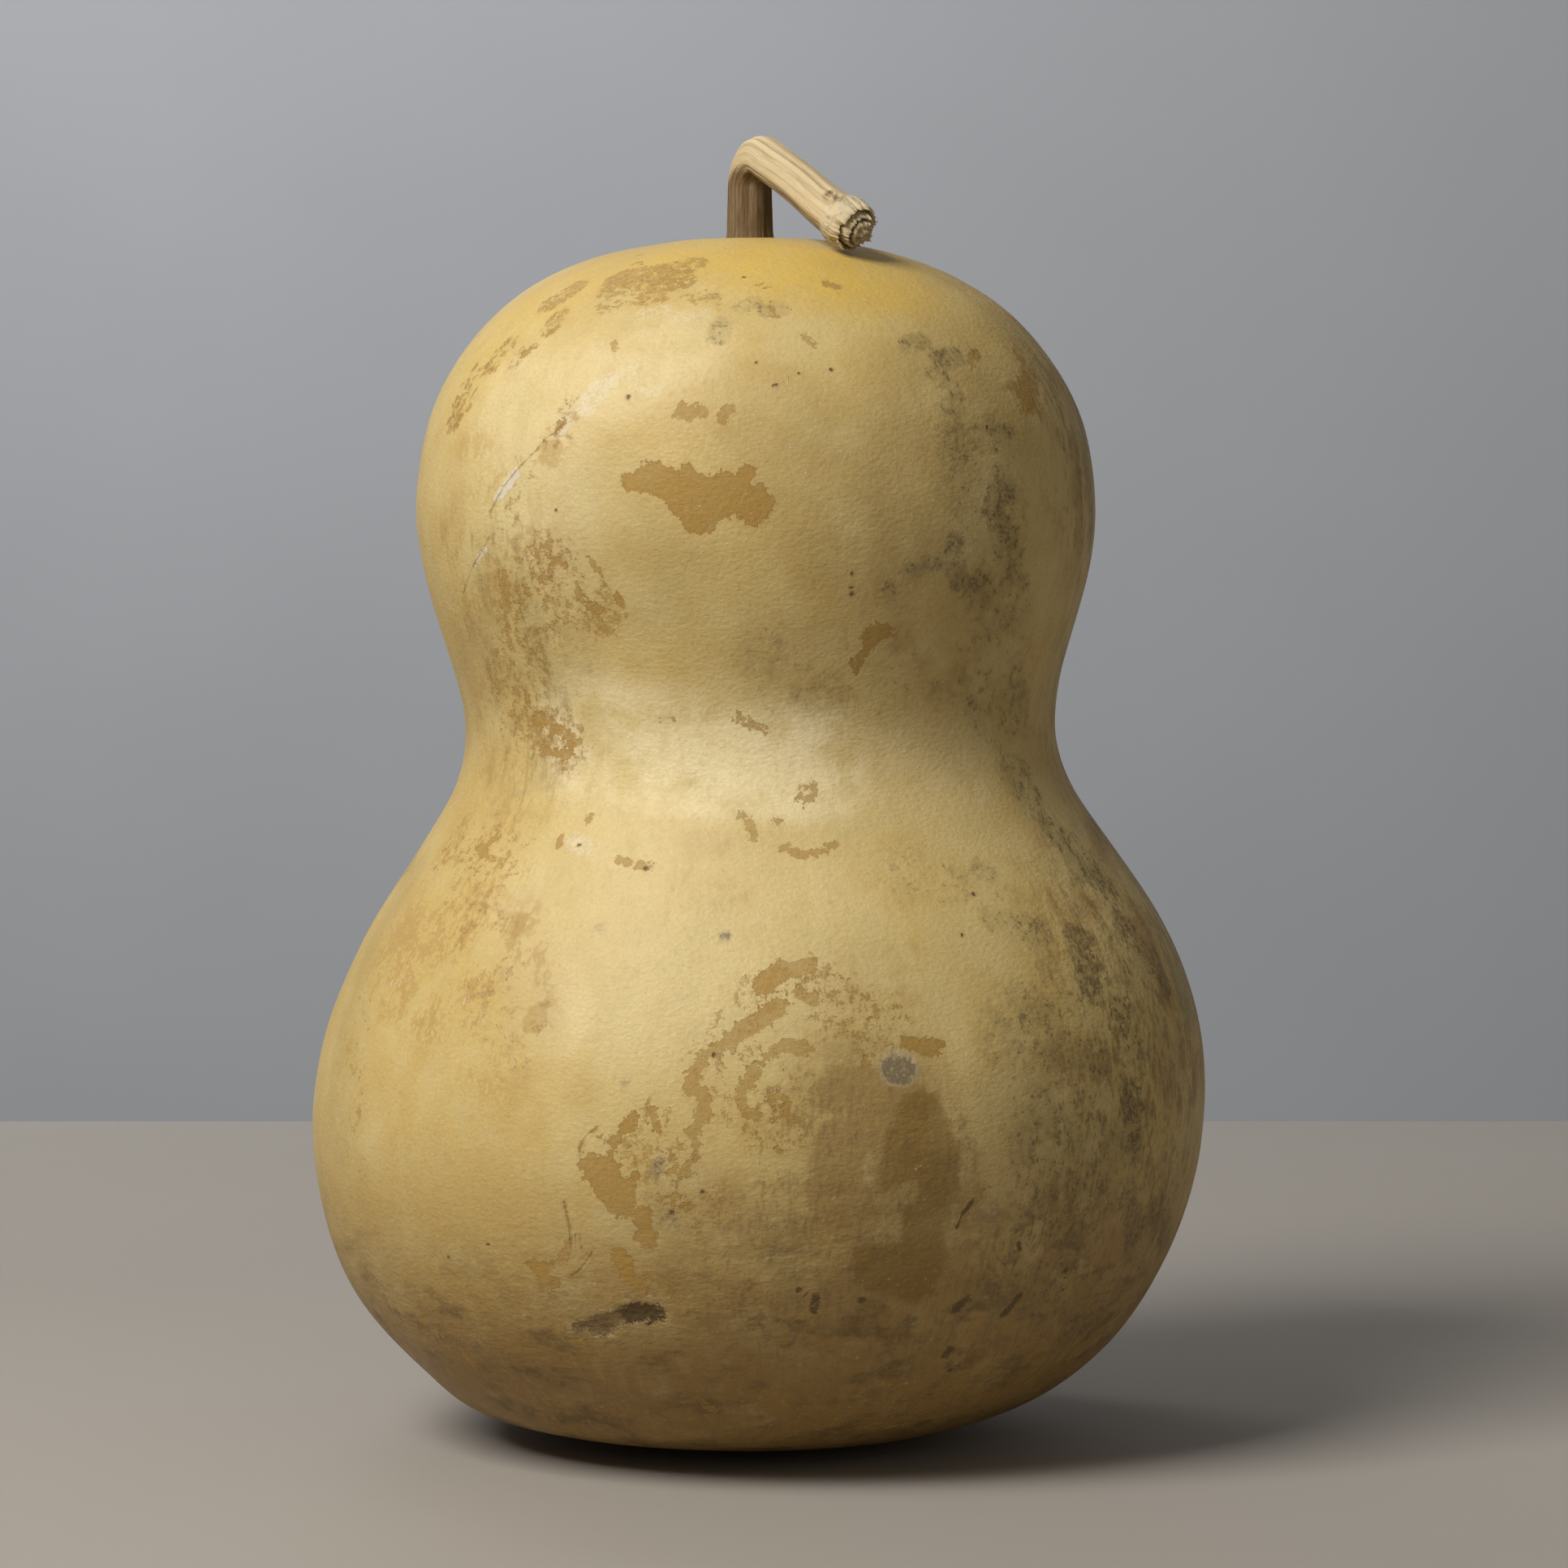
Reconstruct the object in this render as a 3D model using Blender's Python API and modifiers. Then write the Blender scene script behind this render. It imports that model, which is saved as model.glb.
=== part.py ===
"""A dried bottle gourd standing upright: a two-lobed shell and the bent, ridged stem torn from the vine.

Metres, +Z up. The origin is on the surface that the gourd stands on, under the middle of the lower bulb.
The front is towards -Y, and the stem droops to the right and forwards.
"""

import math

import bmesh
import bpy
import numpy as np

MM = 0.001

# Shell: (radius, height) in mm, from the rim of the flat spot that it rests on, up to the seat of the stem
FLAT_SPOT_R = 19.5
SEAT_R = 7.6
SEAT_Z = 265.4
SHELL_OUTLINE = (
    (FLAT_SPOT_R, 0.0),
    (38.5, 2.1),
    (61.3, 7.4),
    (76.4, 17.7),
    (89.0, 33.0),
    (97.0, 52.0),
    (100.0, 74.0),  # widest girth of the lower bulb
    (97.3, 94.5),
    (88.3, 116.0),
    (76.0, 134.5),
    (68.0, 149.0),
    (66.3, 161.5),  # waist
    (69.2, 175.0),
    (74.0, 191.5),
    (75.9, 206.5),  # widest girth of the upper bulb
    (73.8, 224.5),
    (66.2, 240.6),
    (53.6, 254.2),
    (38.8, 262.4),
    (25.5, 266.0),
    (14.5, 267.3),  # rim of the dimple round the stem
    (10.5, 266.6),
    (SEAT_R, SEAT_Z),
)
# How far the middle of each ring strays sideways from the Z axis: (height, shift along X) in mm
SHELL_STRAY = (
    (0.0, 2.0),
    (2.0, -1.0),
    (5.0, -3.4),
    (9.0, -3.3),
    (15.0, -1.8),
    (33.0, -1.8),
    (52.0, -1.2),
    (75.0, 0.0),
    (105.0, 1.8),
    (130.0, 1.9),
    (157.0, 0.4),
    (175.0, -0.4),
    (205.0, -0.6),
    (240.0, -1.0),
    (SEAT_Z + 3.0, -1.6),
)
CURVE_STEPS = 12  # points worked out on the smooth outline between two of the given ones
SHELL_RINGS = 50
SHELL_SIDES = 60
RING_SPACING = 9.0  # the rings are this far apart in mm, or closer: one for each turn of RING_TURN_DEG too
RING_TURN_DEG = 6.0
DEPTH_TO_WIDTH = 0.985  # the rings are a little flatter front to back
LOBE_SHARE = 0.007  # soft irregular swelling of the front and back: three lobes and two weaker ones
LOBE_PAIR_SHARE = 0.6  # how strong the two are beside the three
LOBE_PITCH = 60.0  # the two turn by a radian over this height
LOBES_FULL_Z = 30.0  # they fade out from here down to the flat spot
FRONT_DROP = 0.04  # the top falls towards the front by this share of the way out
DROP_FROM_Z, DROP_FULL_Z = 235.0, 262.0
DROP_FROM_R, DROP_FULL_R = 10.0, 36.0

# Stem: its direction at distances along it in mm from the foot, in degrees down from straight up and in
# degrees round from +X towards the front
STEM_PATH = (
    (0.0, 0.0, 72.0),
    (13.5, 0.0, 72.0),
    (26.5, 115.0, 60.0),
    (36.0, 120.0, 46.0),
    (46.0, 125.0, 45.0),
    (53.0, 119.0, 44.0),
)
STEM_FOOT_X = -2.0
FOOT_GAP = 0.3  # clearance between the foot of the stem and its seat
STEM_STEP = 1.6
STEM_SIDES = 40
# Radius at distances along it, in mm
STEM_RADIUS = (
    (0.0, 6.3),
    (1.5, 5.6),
    (4.0, 5.2),
    (11.0, 5.0),
    (23.0, 4.8),
    (38.0, 4.8),
    (48.0, 5.0),
    (53.0, 5.2),
)
# Grooves along its whole length: (degrees round it from the inside of the bend, depth as a share of the
# radius, width in degrees). The shallow wide one makes the flat top.
STEM_GROOVES = (
    (38.0, 0.14, 12.0),
    (90.0, 0.12, 13.0),
    (143.0, 0.10, 14.0),
    (182.0, 0.06, 26.0),
    (221.0, 0.15, 10.0),
    (250.0, 0.13, 9.0),
    (296.0, 0.12, 12.0),
    (345.0, 0.10, 14.0),
)
FOOT_GROOVE_SHARE = 0.35  # share of the grooves' depth at the foot
GROOVES_FULL_FROM = 8.0  # the grooves reach their depth this far from the foot
# Torn end, from the swollen node through its layers to the core: (advance past the stalk's end, radius) in mm
TORN_END = (
    (1.0, 5.5),
    (2.6, 5.9),
    (4.4, 5.9),
    (5.9, 5.6),
    (6.9, 5.1),
    (6.6, 4.7),
    (5.2, 4.4),
    (5.4, 4.0),
    (7.4, 3.7),
    (7.8, 3.2),
    (6.8, 2.6),
    (7.0, 2.0),
    (8.2, 1.3),
    (8.4, 0.6),
)
NODE_GROOVE_SHARE = 0.25  # share of the grooves' depth on the swollen node
NODE_FULL_FROM = 3.0
# Unevenness of the torn end: (waves round it, phase in radians, height in mm)
TEAR_WAVES = ((3, 1.0, 0.22), (7, 2.0, 0.15), (13, 0.0, 0.11))
TEAR_FROM, TEAR_FULL = 4.4, 7.4
TEAR_FULL_R = 3.0  # the waves fade out from this radius to the middle
SHARP_EDGE_DEG = 60.0

SHELL_COLOUR = (0.590, 0.430, 0.175, 1.0)
SHELL_ROUGHNESS = 0.48
STEM_COLOUR = (0.520, 0.405, 0.215, 1.0)
STEM_ROUGHNESS = 0.80


def clear_scene():
    """Removes what the startup scene holds."""
    for obj in list(bpy.data.objects):
        bpy.data.objects.remove(obj)


def collection_named(name):
    """A new collection in the scene."""
    made = bpy.data.collections.new(name)
    bpy.context.scene.collection.children.link(made)
    return made


def material(name, colour, roughness):
    """A plain dielectric Principled material."""
    made = bpy.data.materials.new(name)
    made.use_nodes = True
    shader = made.node_tree.nodes["Principled BSDF"]
    shader.inputs["Base Color"].default_value = colour
    shader.inputs["Roughness"].default_value = roughness
    shader.inputs["Metallic"].default_value = 0.0
    return made


def smooth_step(value, low, high):
    """0 below low, 1 above high, and a smooth rise between."""
    t = np.clip((value - low) / (high - low), 0.0, 1.0)
    return t * t * (3.0 - 2.0 * t)


def smooth_curve(points):
    """Closely spaced points along the natural cubic spline through the given ones."""
    knots = np.array(points)
    gaps = np.linalg.norm(np.diff(knots, axis=0), axis=1) ** 0.5
    matrix = np.eye(len(knots))
    bends = np.zeros_like(knots)
    for i in range(1, len(knots) - 1):
        before, after = gaps[i - 1], gaps[i]
        matrix[i, i - 1 : i + 2] = before, 2.0 * (before + after), after
        bends[i] = 6.0 * ((knots[i + 1] - knots[i]) / after - (knots[i] - knots[i - 1]) / before)
    second = np.linalg.solve(matrix, bends)
    spans = []
    for i, gap in enumerate(gaps):
        ahead = np.linspace(0.0, gap, CURVE_STEPS, endpoint=False)[:, None]
        left = gap - ahead
        span = (second[i] * left**3 + second[i + 1] * ahead**3) / (6.0 * gap)
        span += (knots[i] / gap - second[i] * gap / 6.0) * left
        span += (knots[i + 1] / gap - second[i + 1] * gap / 6.0) * ahead
        spans.append(span)
    return np.concatenate([*spans, knots[-1:]])


def spread_rings(curve):
    """SHELL_RINGS points of a curve, closer together where it bends."""
    steps = np.diff(curve, axis=0)
    headings = np.unwrap(np.arctan2(steps[:, 1], steps[:, 0]))
    turns = np.abs(np.diff(headings, append=headings[-1]))
    cost = np.hypot(steps[:, 0], steps[:, 1]) / RING_SPACING + np.degrees(turns) / RING_TURN_DEG
    cost = np.concatenate([[0.0], np.cumsum(cost)])
    wanted = np.linspace(0.0, cost[-1], SHELL_RINGS)
    return np.stack([np.interp(wanted, cost, curve[:, 0]), np.interp(wanted, cost, curve[:, 1])], axis=1)


def turned_shell():
    """The shell's outline turned about Z by a Screw modifier, as a plain mesh."""
    outline = spread_rings(smooth_curve(SHELL_OUTLINE))
    outline = np.vstack([(0.0, 0.0), outline, (0.0, SEAT_Z)])[::-1] * MM
    mesh = bpy.data.meshes.new("shell_outline")
    corners = [(radius, 0.0, height) for radius, height in outline]
    mesh.from_pydata(corners, [(i, i + 1) for i in range(len(corners) - 1)], [])
    turned = bpy.data.objects.new("shell_outline", mesh)
    bpy.context.scene.collection.objects.link(turned)
    screw = turned.modifiers.new("turn", "SCREW")
    screw.axis = "Z"
    screw.steps = screw.render_steps = SHELL_SIDES
    screw.use_merge_vertices = True
    screw.merge_threshold = 0.00001
    bpy.context.view_layer.update()
    evaluated = turned.evaluated_get(bpy.context.evaluated_depsgraph_get())
    shell_mesh = bpy.data.meshes.new_from_object(evaluated)
    bpy.data.objects.remove(turned)
    return shell_mesh


def grown_place(points):
    """Moves points of the turned shell, in mm, to the grown one's: strayed, lobed and dropped in front."""
    x, y, z = points.T
    angle = np.arctan2(y, x)
    stray = smooth_curve(SHELL_STRAY)
    lobes = np.cos(3.0 * angle) + LOBE_PAIR_SHARE * np.sin(2.0 * angle + z / LOBE_PITCH)
    lobes *= LOBE_SHARE * smooth_step(z, 0.0, LOBES_FULL_Z)
    scale = 1.0 + np.sin(angle) ** 2 * (DEPTH_TO_WIDTH - 1.0 + lobes)
    drop = smooth_step(np.hypot(x, y), DROP_FROM_R, DROP_FULL_R) * smooth_step(z, DROP_FROM_Z, DROP_FULL_Z)
    middle = np.interp(z, stray[:, 0], stray[:, 1])
    return np.stack([middle + x * scale, y * scale, z + y * FRONT_DROP * drop], axis=1)


def make_shell(home, finish):
    """The two-lobed body of the gourd, in one piece down to its flat spot."""
    mesh = turned_shell()
    mesh.name = "gourd"
    places = np.empty(len(mesh.vertices) * 3)
    mesh.vertices.foreach_get("co", places)
    grown = grown_place(places.reshape(-1, 3) / MM) * MM
    mesh.vertices.foreach_set("co", grown.ravel())
    mesh.shade_smooth()
    mesh.materials.append(finish)
    shell = bpy.data.objects.new("gourd", mesh)
    home.objects.link(shell)


def stem_line():
    """The middle of the stem, in mm from its foot: distances, points, and unit vectors along and inwards."""
    known, down, around = np.array(STEM_PATH).T
    distance = np.arange(0.0, known[-1] + STEM_STEP / 2.0, STEM_STEP)
    down = np.radians(np.interp(distance, known, down))
    around = np.radians(np.interp(distance, known, around))
    outward = np.stack([np.cos(around), -np.sin(around), np.zeros_like(around)], axis=1)
    upward = np.array([[0.0, 0.0, 1.0]])
    along = np.sin(down)[:, None] * outward + np.cos(down)[:, None] * upward
    inward = np.cos(down)[:, None] * outward - np.sin(down)[:, None] * upward
    steps = (along[1:] + along[:-1]) / 2.0 * STEM_STEP
    middle = np.vstack([(0.0, 0.0, 0.0), np.cumsum(steps, axis=0)])
    return distance, middle, along, inward


def ridged(angle, distance):
    """The stem's radius as a share of its mean one: ridges between grooves that are faint at the foot."""
    share = np.ones(np.broadcast_shapes(angle.shape, distance.shape))
    depth_here = FOOT_GROOVE_SHARE + (1.0 - FOOT_GROOVE_SHARE) * smooth_step(distance, 0.0, GROOVES_FULL_FROM)
    for place, depth, width in STEM_GROOVES:
        away = (np.degrees(angle) - place + 180.0) % 360.0 - 180.0
        share = share - depth * depth_here * np.exp(-((away / width) ** 2))
    return share


def stem_rings():
    """Rings of points from the stem's foot to the core of its torn end, and the point that closes the end."""
    distance, middle, along, inward = stem_line()
    advance, end_radius = np.array(TORN_END).T
    radius = np.concatenate([np.interp(distance, *zip(*STEM_RADIUS)), end_radius])[:, None]
    end = middle[-1] + advance[:, None] * along[-1]
    middle = np.vstack([middle, end])
    along = np.vstack([along, np.repeat(along[-1:], len(advance), axis=0)])
    inward = np.vstack([inward, np.repeat(inward[-1:], len(advance), axis=0)])
    past = np.concatenate([np.zeros_like(distance), advance])[:, None]
    distance = np.concatenate([distance, distance[-1] + advance])[:, None]
    angle = np.linspace(0.0, 2.0 * math.pi, STEM_SIDES, endpoint=False)[None, :]
    grooved = 1.0 - (1.0 - NODE_GROOVE_SHARE) * smooth_step(past, 0.0, NODE_FULL_FROM)
    ridges = 1.0 + (ridged(angle, distance) - 1.0) * grooved
    tear = sum(height * np.sin(waves * angle + phase) for waves, phase, height in TEAR_WAVES)
    lift = tear * smooth_step(past, TEAR_FROM, TEAR_FULL) * np.minimum(1.0, radius / TEAR_FULL_R)
    across = np.cross(along, inward)
    reach_in = (radius * ridges * np.cos(angle))[:, :, None] * inward[:, None, :]
    reach_across = (radius * ridges * np.sin(angle))[:, :, None] * across[:, None, :]
    rings = middle[:, None, :] + reach_in + reach_across + lift[:, :, None] * along[:, None, :]
    return rings, rings[-1].mean(axis=0)


def make_stem(home, finish):
    """The stem, lofted from its flared foot through the bend to the torn end."""
    rings, tip = stem_rings()
    count, sides = rings.shape[:2]
    points = np.vstack([rings.reshape(-1, 3), [(0.0, 0.0, 0.0)], [tip]]) * MM
    foot_point, tip_point = count * sides, count * sides + 1
    last = (count - 1) * sides
    faces = []
    for j in range(sides):
        k = (j + 1) % sides
        faces.append((foot_point, k, j))
        faces.append((tip_point, last + j, last + k))
        faces.extend((i + j, i + k, i + sides + k, i + sides + j) for i in range(0, last, sides))
    mesh = bpy.data.meshes.new("stem")
    mesh.from_pydata(points.tolist(), [], faces)
    shape = bmesh.new()
    shape.from_mesh(mesh)
    bmesh.ops.recalc_face_normals(shape, faces=shape.faces)
    shape.to_mesh(mesh)
    shape.free()
    mesh.shade_smooth()
    mesh.set_sharp_from_angle(angle=math.radians(SHARP_EDGE_DEG))
    mesh.materials.append(finish)
    stem = bpy.data.objects.new("stem", mesh)
    home.objects.link(stem)
    stem.location = (STEM_FOOT_X * MM, 0.0, (SEAT_Z + FOOT_GAP) * MM)


def main():
    clear_scene()
    home = collection_named("dried_bottle_gourd")
    make_shell(home, material("gourd_skin", SHELL_COLOUR, SHELL_ROUGHNESS))
    make_stem(home, material("stem_bark", STEM_COLOUR, STEM_ROUGHNESS))


main()
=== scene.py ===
# %% [markdown]
# # A dried bottle gourd
# A bottle gourd that has dried on the vine turns from green to straw and cream. Its shell is as hard as
# wood, its skin is thin and waxy, and mould, scabs and scuffs have drawn on it while it dried. The bent
# stalk on top was torn off the vine.
#
# The imported part gives the true size and shape. Everything below is built around it, in its own place.

# %% Load the imported part
import math

import bpy
import numpy as np
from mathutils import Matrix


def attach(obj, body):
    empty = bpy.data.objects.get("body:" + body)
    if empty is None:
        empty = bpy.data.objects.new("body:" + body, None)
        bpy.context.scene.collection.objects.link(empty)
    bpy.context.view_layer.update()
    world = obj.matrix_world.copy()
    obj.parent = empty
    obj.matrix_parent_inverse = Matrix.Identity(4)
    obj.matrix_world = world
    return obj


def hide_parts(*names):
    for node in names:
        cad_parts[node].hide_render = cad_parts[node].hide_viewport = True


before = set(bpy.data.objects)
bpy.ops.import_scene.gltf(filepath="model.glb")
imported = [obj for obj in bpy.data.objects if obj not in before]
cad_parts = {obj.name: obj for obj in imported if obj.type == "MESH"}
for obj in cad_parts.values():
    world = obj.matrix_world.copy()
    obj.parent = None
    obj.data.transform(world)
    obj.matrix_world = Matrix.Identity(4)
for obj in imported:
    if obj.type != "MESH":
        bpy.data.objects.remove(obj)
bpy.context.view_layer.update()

MM = 0.001

# %% [markdown]
# # The camera
# The camera comes first, because the marks on the skin are placed by where they show in the picture.
# It is a long lens, a metre away and almost level, so near and far parts keep nearly the same size.
# The same numbers are used twice: once for the camera, and once as plain arithmetic in `picture_place`.

# %% Camera and picture coordinates
PICTURE_SIDE = 1932.0
FOCAL_PIXELS = 6325.0
CAMERA_PLACE = np.array((5.6, -1150.0, 200.0))  # in mm
CAMERA_DOWN = math.radians(2.69)
SENSOR_WIDTH = 36.0

camera_data = bpy.data.cameras.new("camera")
camera_data.sensor_width = SENSOR_WIDTH
camera_data.lens = FOCAL_PIXELS / PICTURE_SIDE * SENSOR_WIDTH
camera = bpy.data.objects.new("camera", camera_data)
camera.location = CAMERA_PLACE * MM
camera.rotation_euler = (math.radians(90.0) - CAMERA_DOWN, 0.0, 0.0)
bpy.context.scene.collection.objects.link(camera)
bpy.context.scene.camera = camera


def picture_place(points):
    """Points in mm to picture pixels: turned into the camera's axes, then divided by their depth."""
    right, away, up = (points - CAMERA_PLACE).T
    depth = away * math.cos(CAMERA_DOWN) - up * math.sin(CAMERA_DOWN)
    rise = away * math.sin(CAMERA_DOWN) + up * math.cos(CAMERA_DOWN)
    middle = PICTURE_SIDE / 2.0
    return np.stack([middle + FOCAL_PIXELS * right / depth, middle - FOCAL_PIXELS * rise / depth], axis=1)


print("lens in mm:", round(camera_data.lens, 1))

# %% [markdown]
# # Curves and grids
# The shell and the stalk are closed tubes: rings of points round a middle line, with a cap at each end. One
# helper draws the smooth outline that a few given points suggest. Others turn rings of points into a mesh,
# keep numbers on its vertices, and wrap a map round it without a seam.

# %% Helpers for smooth curves and for closed tubes
CURVE_STEPS = 24


def smooth_step(value, low, high):
    """0 below low, 1 above high, and 3t^2 - 2t^3 between, where t is the share of the way."""
    t = np.clip((value - low) / (high - low), 0.0, 1.0)
    return t * t * (3.0 - 2.0 * t)


def smooth_curve(points):
    """Close points on the natural cubic spline through the given ones, timed by the root of their gaps."""
    knots = np.array(points)
    gaps = np.linalg.norm(np.diff(knots, axis=0), axis=1) ** 0.5
    matrix = np.eye(len(knots))
    bends = np.zeros_like(knots)
    for i in range(1, len(knots) - 1):
        before, after = gaps[i - 1], gaps[i]
        matrix[i, i - 1 : i + 2] = before, 2.0 * (before + after), after
        bends[i] = 6.0 * ((knots[i + 1] - knots[i]) / after - (knots[i] - knots[i - 1]) / before)
    second = np.linalg.solve(matrix, bends)
    spans = []
    for i, gap in enumerate(gaps):
        ahead = np.linspace(0.0, gap, CURVE_STEPS, endpoint=False)[:, None]
        left = gap - ahead
        span = (second[i] * left**3 + second[i + 1] * ahead**3) / (6.0 * gap)
        span += (knots[i] / gap - second[i] * gap / 6.0) * left
        span += (knots[i + 1] / gap - second[i + 1] * gap / 6.0) * ahead
        spans.append(span)
    return np.concatenate([*spans, knots[-1:]])


def tube_faces(count, sides):
    """The faces of a closed tube, as point numbers: the four-sided ones, and the triangles of both caps.

    Point k of ring i has number i * sides + k, and the two end points come last. All faces look out.
    """
    here = np.arange(sides)
    after = (here + 1) % sides
    rows = (np.arange(count - 1) * sides)[:, None]
    quads = np.stack([rows + here, rows + after, rows + sides + after, rows + sides + here], axis=-1)
    top = (count - 1) * sides
    first = np.full(sides, count * sides)
    caps = [np.stack([first, after, here], axis=-1), np.stack([first + 1, top + here, top + after], axis=-1)]
    return quads.reshape(-1, 4), np.vstack(caps)


def new_object(name, points, faces, smooth=True):
    """An object in the scene from points in metres and faces of point numbers."""
    mesh = bpy.data.meshes.new(name)
    mesh.from_pydata(points.tolist(), [], faces)
    if smooth:
        mesh.shade_smooth()
    made = bpy.data.objects.new(name, mesh)
    bpy.context.scene.collection.objects.link(made)
    return made


def closed_tube(name, rings):
    """An object from rings of points in mm. Each end is closed at the middle of its ring."""
    quads, caps = tube_faces(*rings.shape[:2])
    points = np.vstack([rings.reshape(-1, 3), rings[[0, -1]].mean(axis=1)])
    return new_object(name, points * MM, quads.tolist() + caps.tolist())


def keep_on(piece, name, values):
    """Stores one number, or one vector, for each vertex of a closed tube, for its material to read.

    The values are those of the rings. The two end points take the first and the last of them.
    """
    values = np.concatenate([values, values[:1], values[-1:]]).astype(np.float32)
    kind, field = ("FLOAT", "value") if values.ndim == 1 else ("FLOAT_VECTOR", "vector")
    piece.data.attributes.new(name, kind, "POINT").data.foreach_set(field, values.ravel())


def round_map(angle, height):
    """A map round a tube that has no seam: the cosine and the sine of each point's angle, and a height."""
    return np.stack(np.broadcast_arrays(np.cos(angle), np.sin(angle), height), axis=-1).reshape(-1, 3)


# %% [markdown]
# # The shell
# A gourd is turned by nature: every cross-section is nearly round. Its outline is swept round the upright
# axis, and then the rings stray to the side, swell a little in soft lobes and drop at the front of the crown,
# as in the imported part. A lathe outline could be turned by a modifier, but a grid worked out one by one
# lets the columns crowd together at the front, where most of the marks are.

# %% Outline of the shell, from its flat spot to the seat of the stalk
SEAT_R, SEAT_Z = 7.6, 265.4
FLAT_RINGS = ((1.5, 0.0), (7.5, 0.0), (13.5, 0.0))
SHELL_OUTLINE = (
    (19.5, 0.0), (38.5, 2.1), (61.3, 7.4), (76.4, 17.7), (89.0, 33.0), (97.0, 52.0), (100.0, 74.0),
    (97.3, 94.5), (88.3, 116.0), (76.0, 134.5), (68.0, 149.0), (66.3, 161.5), (69.2, 175.0), (74.0, 191.5),
    (75.9, 206.5), (73.8, 224.5), (66.2, 240.6), (53.6, 254.2), (38.8, 262.4), (25.5, 266.0), (14.5, 267.3),
    (10.5, 266.6), (SEAT_R, SEAT_Z),
)
SHELL_STRAY = (
    (0.0, 2.0), (2.0, -1.0), (5.0, -3.4), (9.0, -3.3), (15.0, -1.8), (33.0, -1.8), (52.0, -1.1),
    (75.0, 0.1), (105.0, 1.8), (130.0, 1.9), (157.0, 0.4), (175.0, -0.4), (205.0, -0.6), (240.0, -1.0),
    (SEAT_Z + 3.0, -1.6),
)
SHELL_ROWS = 240
SHELL_COLUMNS = 400
HIDDEN_ROW_GAP, SEEN_ROW_GAP = 3.0, 1.0  # only their ratio counts
HIDDEN_BELOW_Z, SEEN_ABOVE_Z = 2.0, 14.0
CROWDING = 0.45  # columns are this share closer at the front and wider apart at the back

outline = smooth_curve(SHELL_OUTLINE)
steps = np.hypot(*np.diff(outline, axis=0).T)
seen = smooth_step(outline[1:, 1], HIDDEN_BELOW_Z, SEEN_ABOVE_Z)
row_gap = HIDDEN_ROW_GAP + (SEEN_ROW_GAP - HIDDEN_ROW_GAP) * seen
cost = np.concatenate([[0.0], np.cumsum(steps / row_gap)])
wanted = np.linspace(0.0, cost[-1], SHELL_ROWS)
outline_rows = np.stack([np.interp(wanted, cost, outline[:, k]) for k in range(2)], axis=1)
outline_rows = np.vstack([FLAT_RINGS, outline_rows])
turn = np.linspace(-math.pi, math.pi, SHELL_COLUMNS, endpoint=False)
column_angle = turn - CROWDING * np.sin(turn) - math.pi / 2.0
print("shell outline is", round(float(steps.sum()), 1), "mm long")

# %% Shape of the shell
DEPTH_TO_WIDTH = 0.985
LOBE_SHARE, LOBE_PAIR_SHARE, LOBE_PITCH, LOBES_FULL_Z = 0.007, 0.6, 60.0, 30.0
FRONT_DROP, DROP_FROM_Z, DROP_FULL_Z, DROP_FROM_R, DROP_FULL_R = 0.04, 235.0, 262.0, 10.0, 36.0
stray = smooth_curve(SHELL_STRAY)


def shell_place(radius, height, angle):
    """The point at an angle on a ring, in mm.

    The ring's middle strays along X with height. Its depth is scaled by 0.985 and by soft lobes, which are
    cos 3a plus 0.6 sin(2a + z/60), both by the square of sin a. The crown drops with y in front.
    """
    x, y = radius * np.cos(angle), radius * np.sin(angle)
    lobes = np.cos(3.0 * angle) + LOBE_PAIR_SHARE * np.sin(2.0 * angle + height / LOBE_PITCH)
    lobes = lobes * LOBE_SHARE * smooth_step(height, 0.0, LOBES_FULL_Z)
    scale = 1.0 + np.sin(angle) ** 2 * (DEPTH_TO_WIDTH - 1.0 + lobes)
    drop = smooth_step(radius, DROP_FROM_R, DROP_FULL_R) * smooth_step(height, DROP_FROM_Z, DROP_FULL_Z)
    middle = np.interp(height, stray[:, 0], stray[:, 1])
    return np.stack([middle + x * scale, y * scale, height + y * FRONT_DROP * drop], axis=-1)


def grid_normals(grid):
    """Outward unit normals of a closed tube's rings: the cross product of the steps round and along it."""
    around = np.roll(grid, -1, axis=1) - np.roll(grid, 1, axis=1)
    normal = np.cross(around, np.gradient(grid, axis=0))
    return normal / np.maximum(np.linalg.norm(normal, axis=-1, keepdims=True), 1e-9)


shell_grid = shell_place(outline_rows[:, :1], outline_rows[:, 1:], column_angle[None, :])
shell_points = shell_grid.reshape(-1, 3)
shell_normals = grid_normals(shell_grid).reshape(-1, 3)
outward = (shell_normals * (shell_points - shell_points.mean(axis=0))).sum(axis=1) > 0.0
print("shell grid:", shell_grid.shape, "share that looks outwards:", round(float(outward.mean()), 2))

# %% [markdown]
# # Marks by place
# A mark is drawn as a line with a width, or as an outline, in picture pixels. Each pixel is carried to the
# skin behind it, and every vertex then stores how far inside the nearest mark it is, in mm. The material
# roughens that distance with noise before it cuts it off, so an edge is crisp and lobed, as a scab's is,
# however wide the grid is. Painting the marks as a picture would have been the other way, but it would
# blur when one looks closely.

# %% From picture pixels to the skin, and distances to marks
FAR = 6.0  # distances in mm are kept up to this
FIT_POINTS = 8
PIXELS_PER_MM = 5.9  # at the front of the gourd
NEAR_FROM, NEAR_TO = 1.8, 3.2  # mm from a fine mark

facing = (shell_normals * (CAMERA_PLACE - shell_points)).sum(axis=1) > 0.0
front_points = shell_points[facing]
front_pixels = picture_place(front_points)
all_pixels = picture_place(shell_points)


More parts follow.
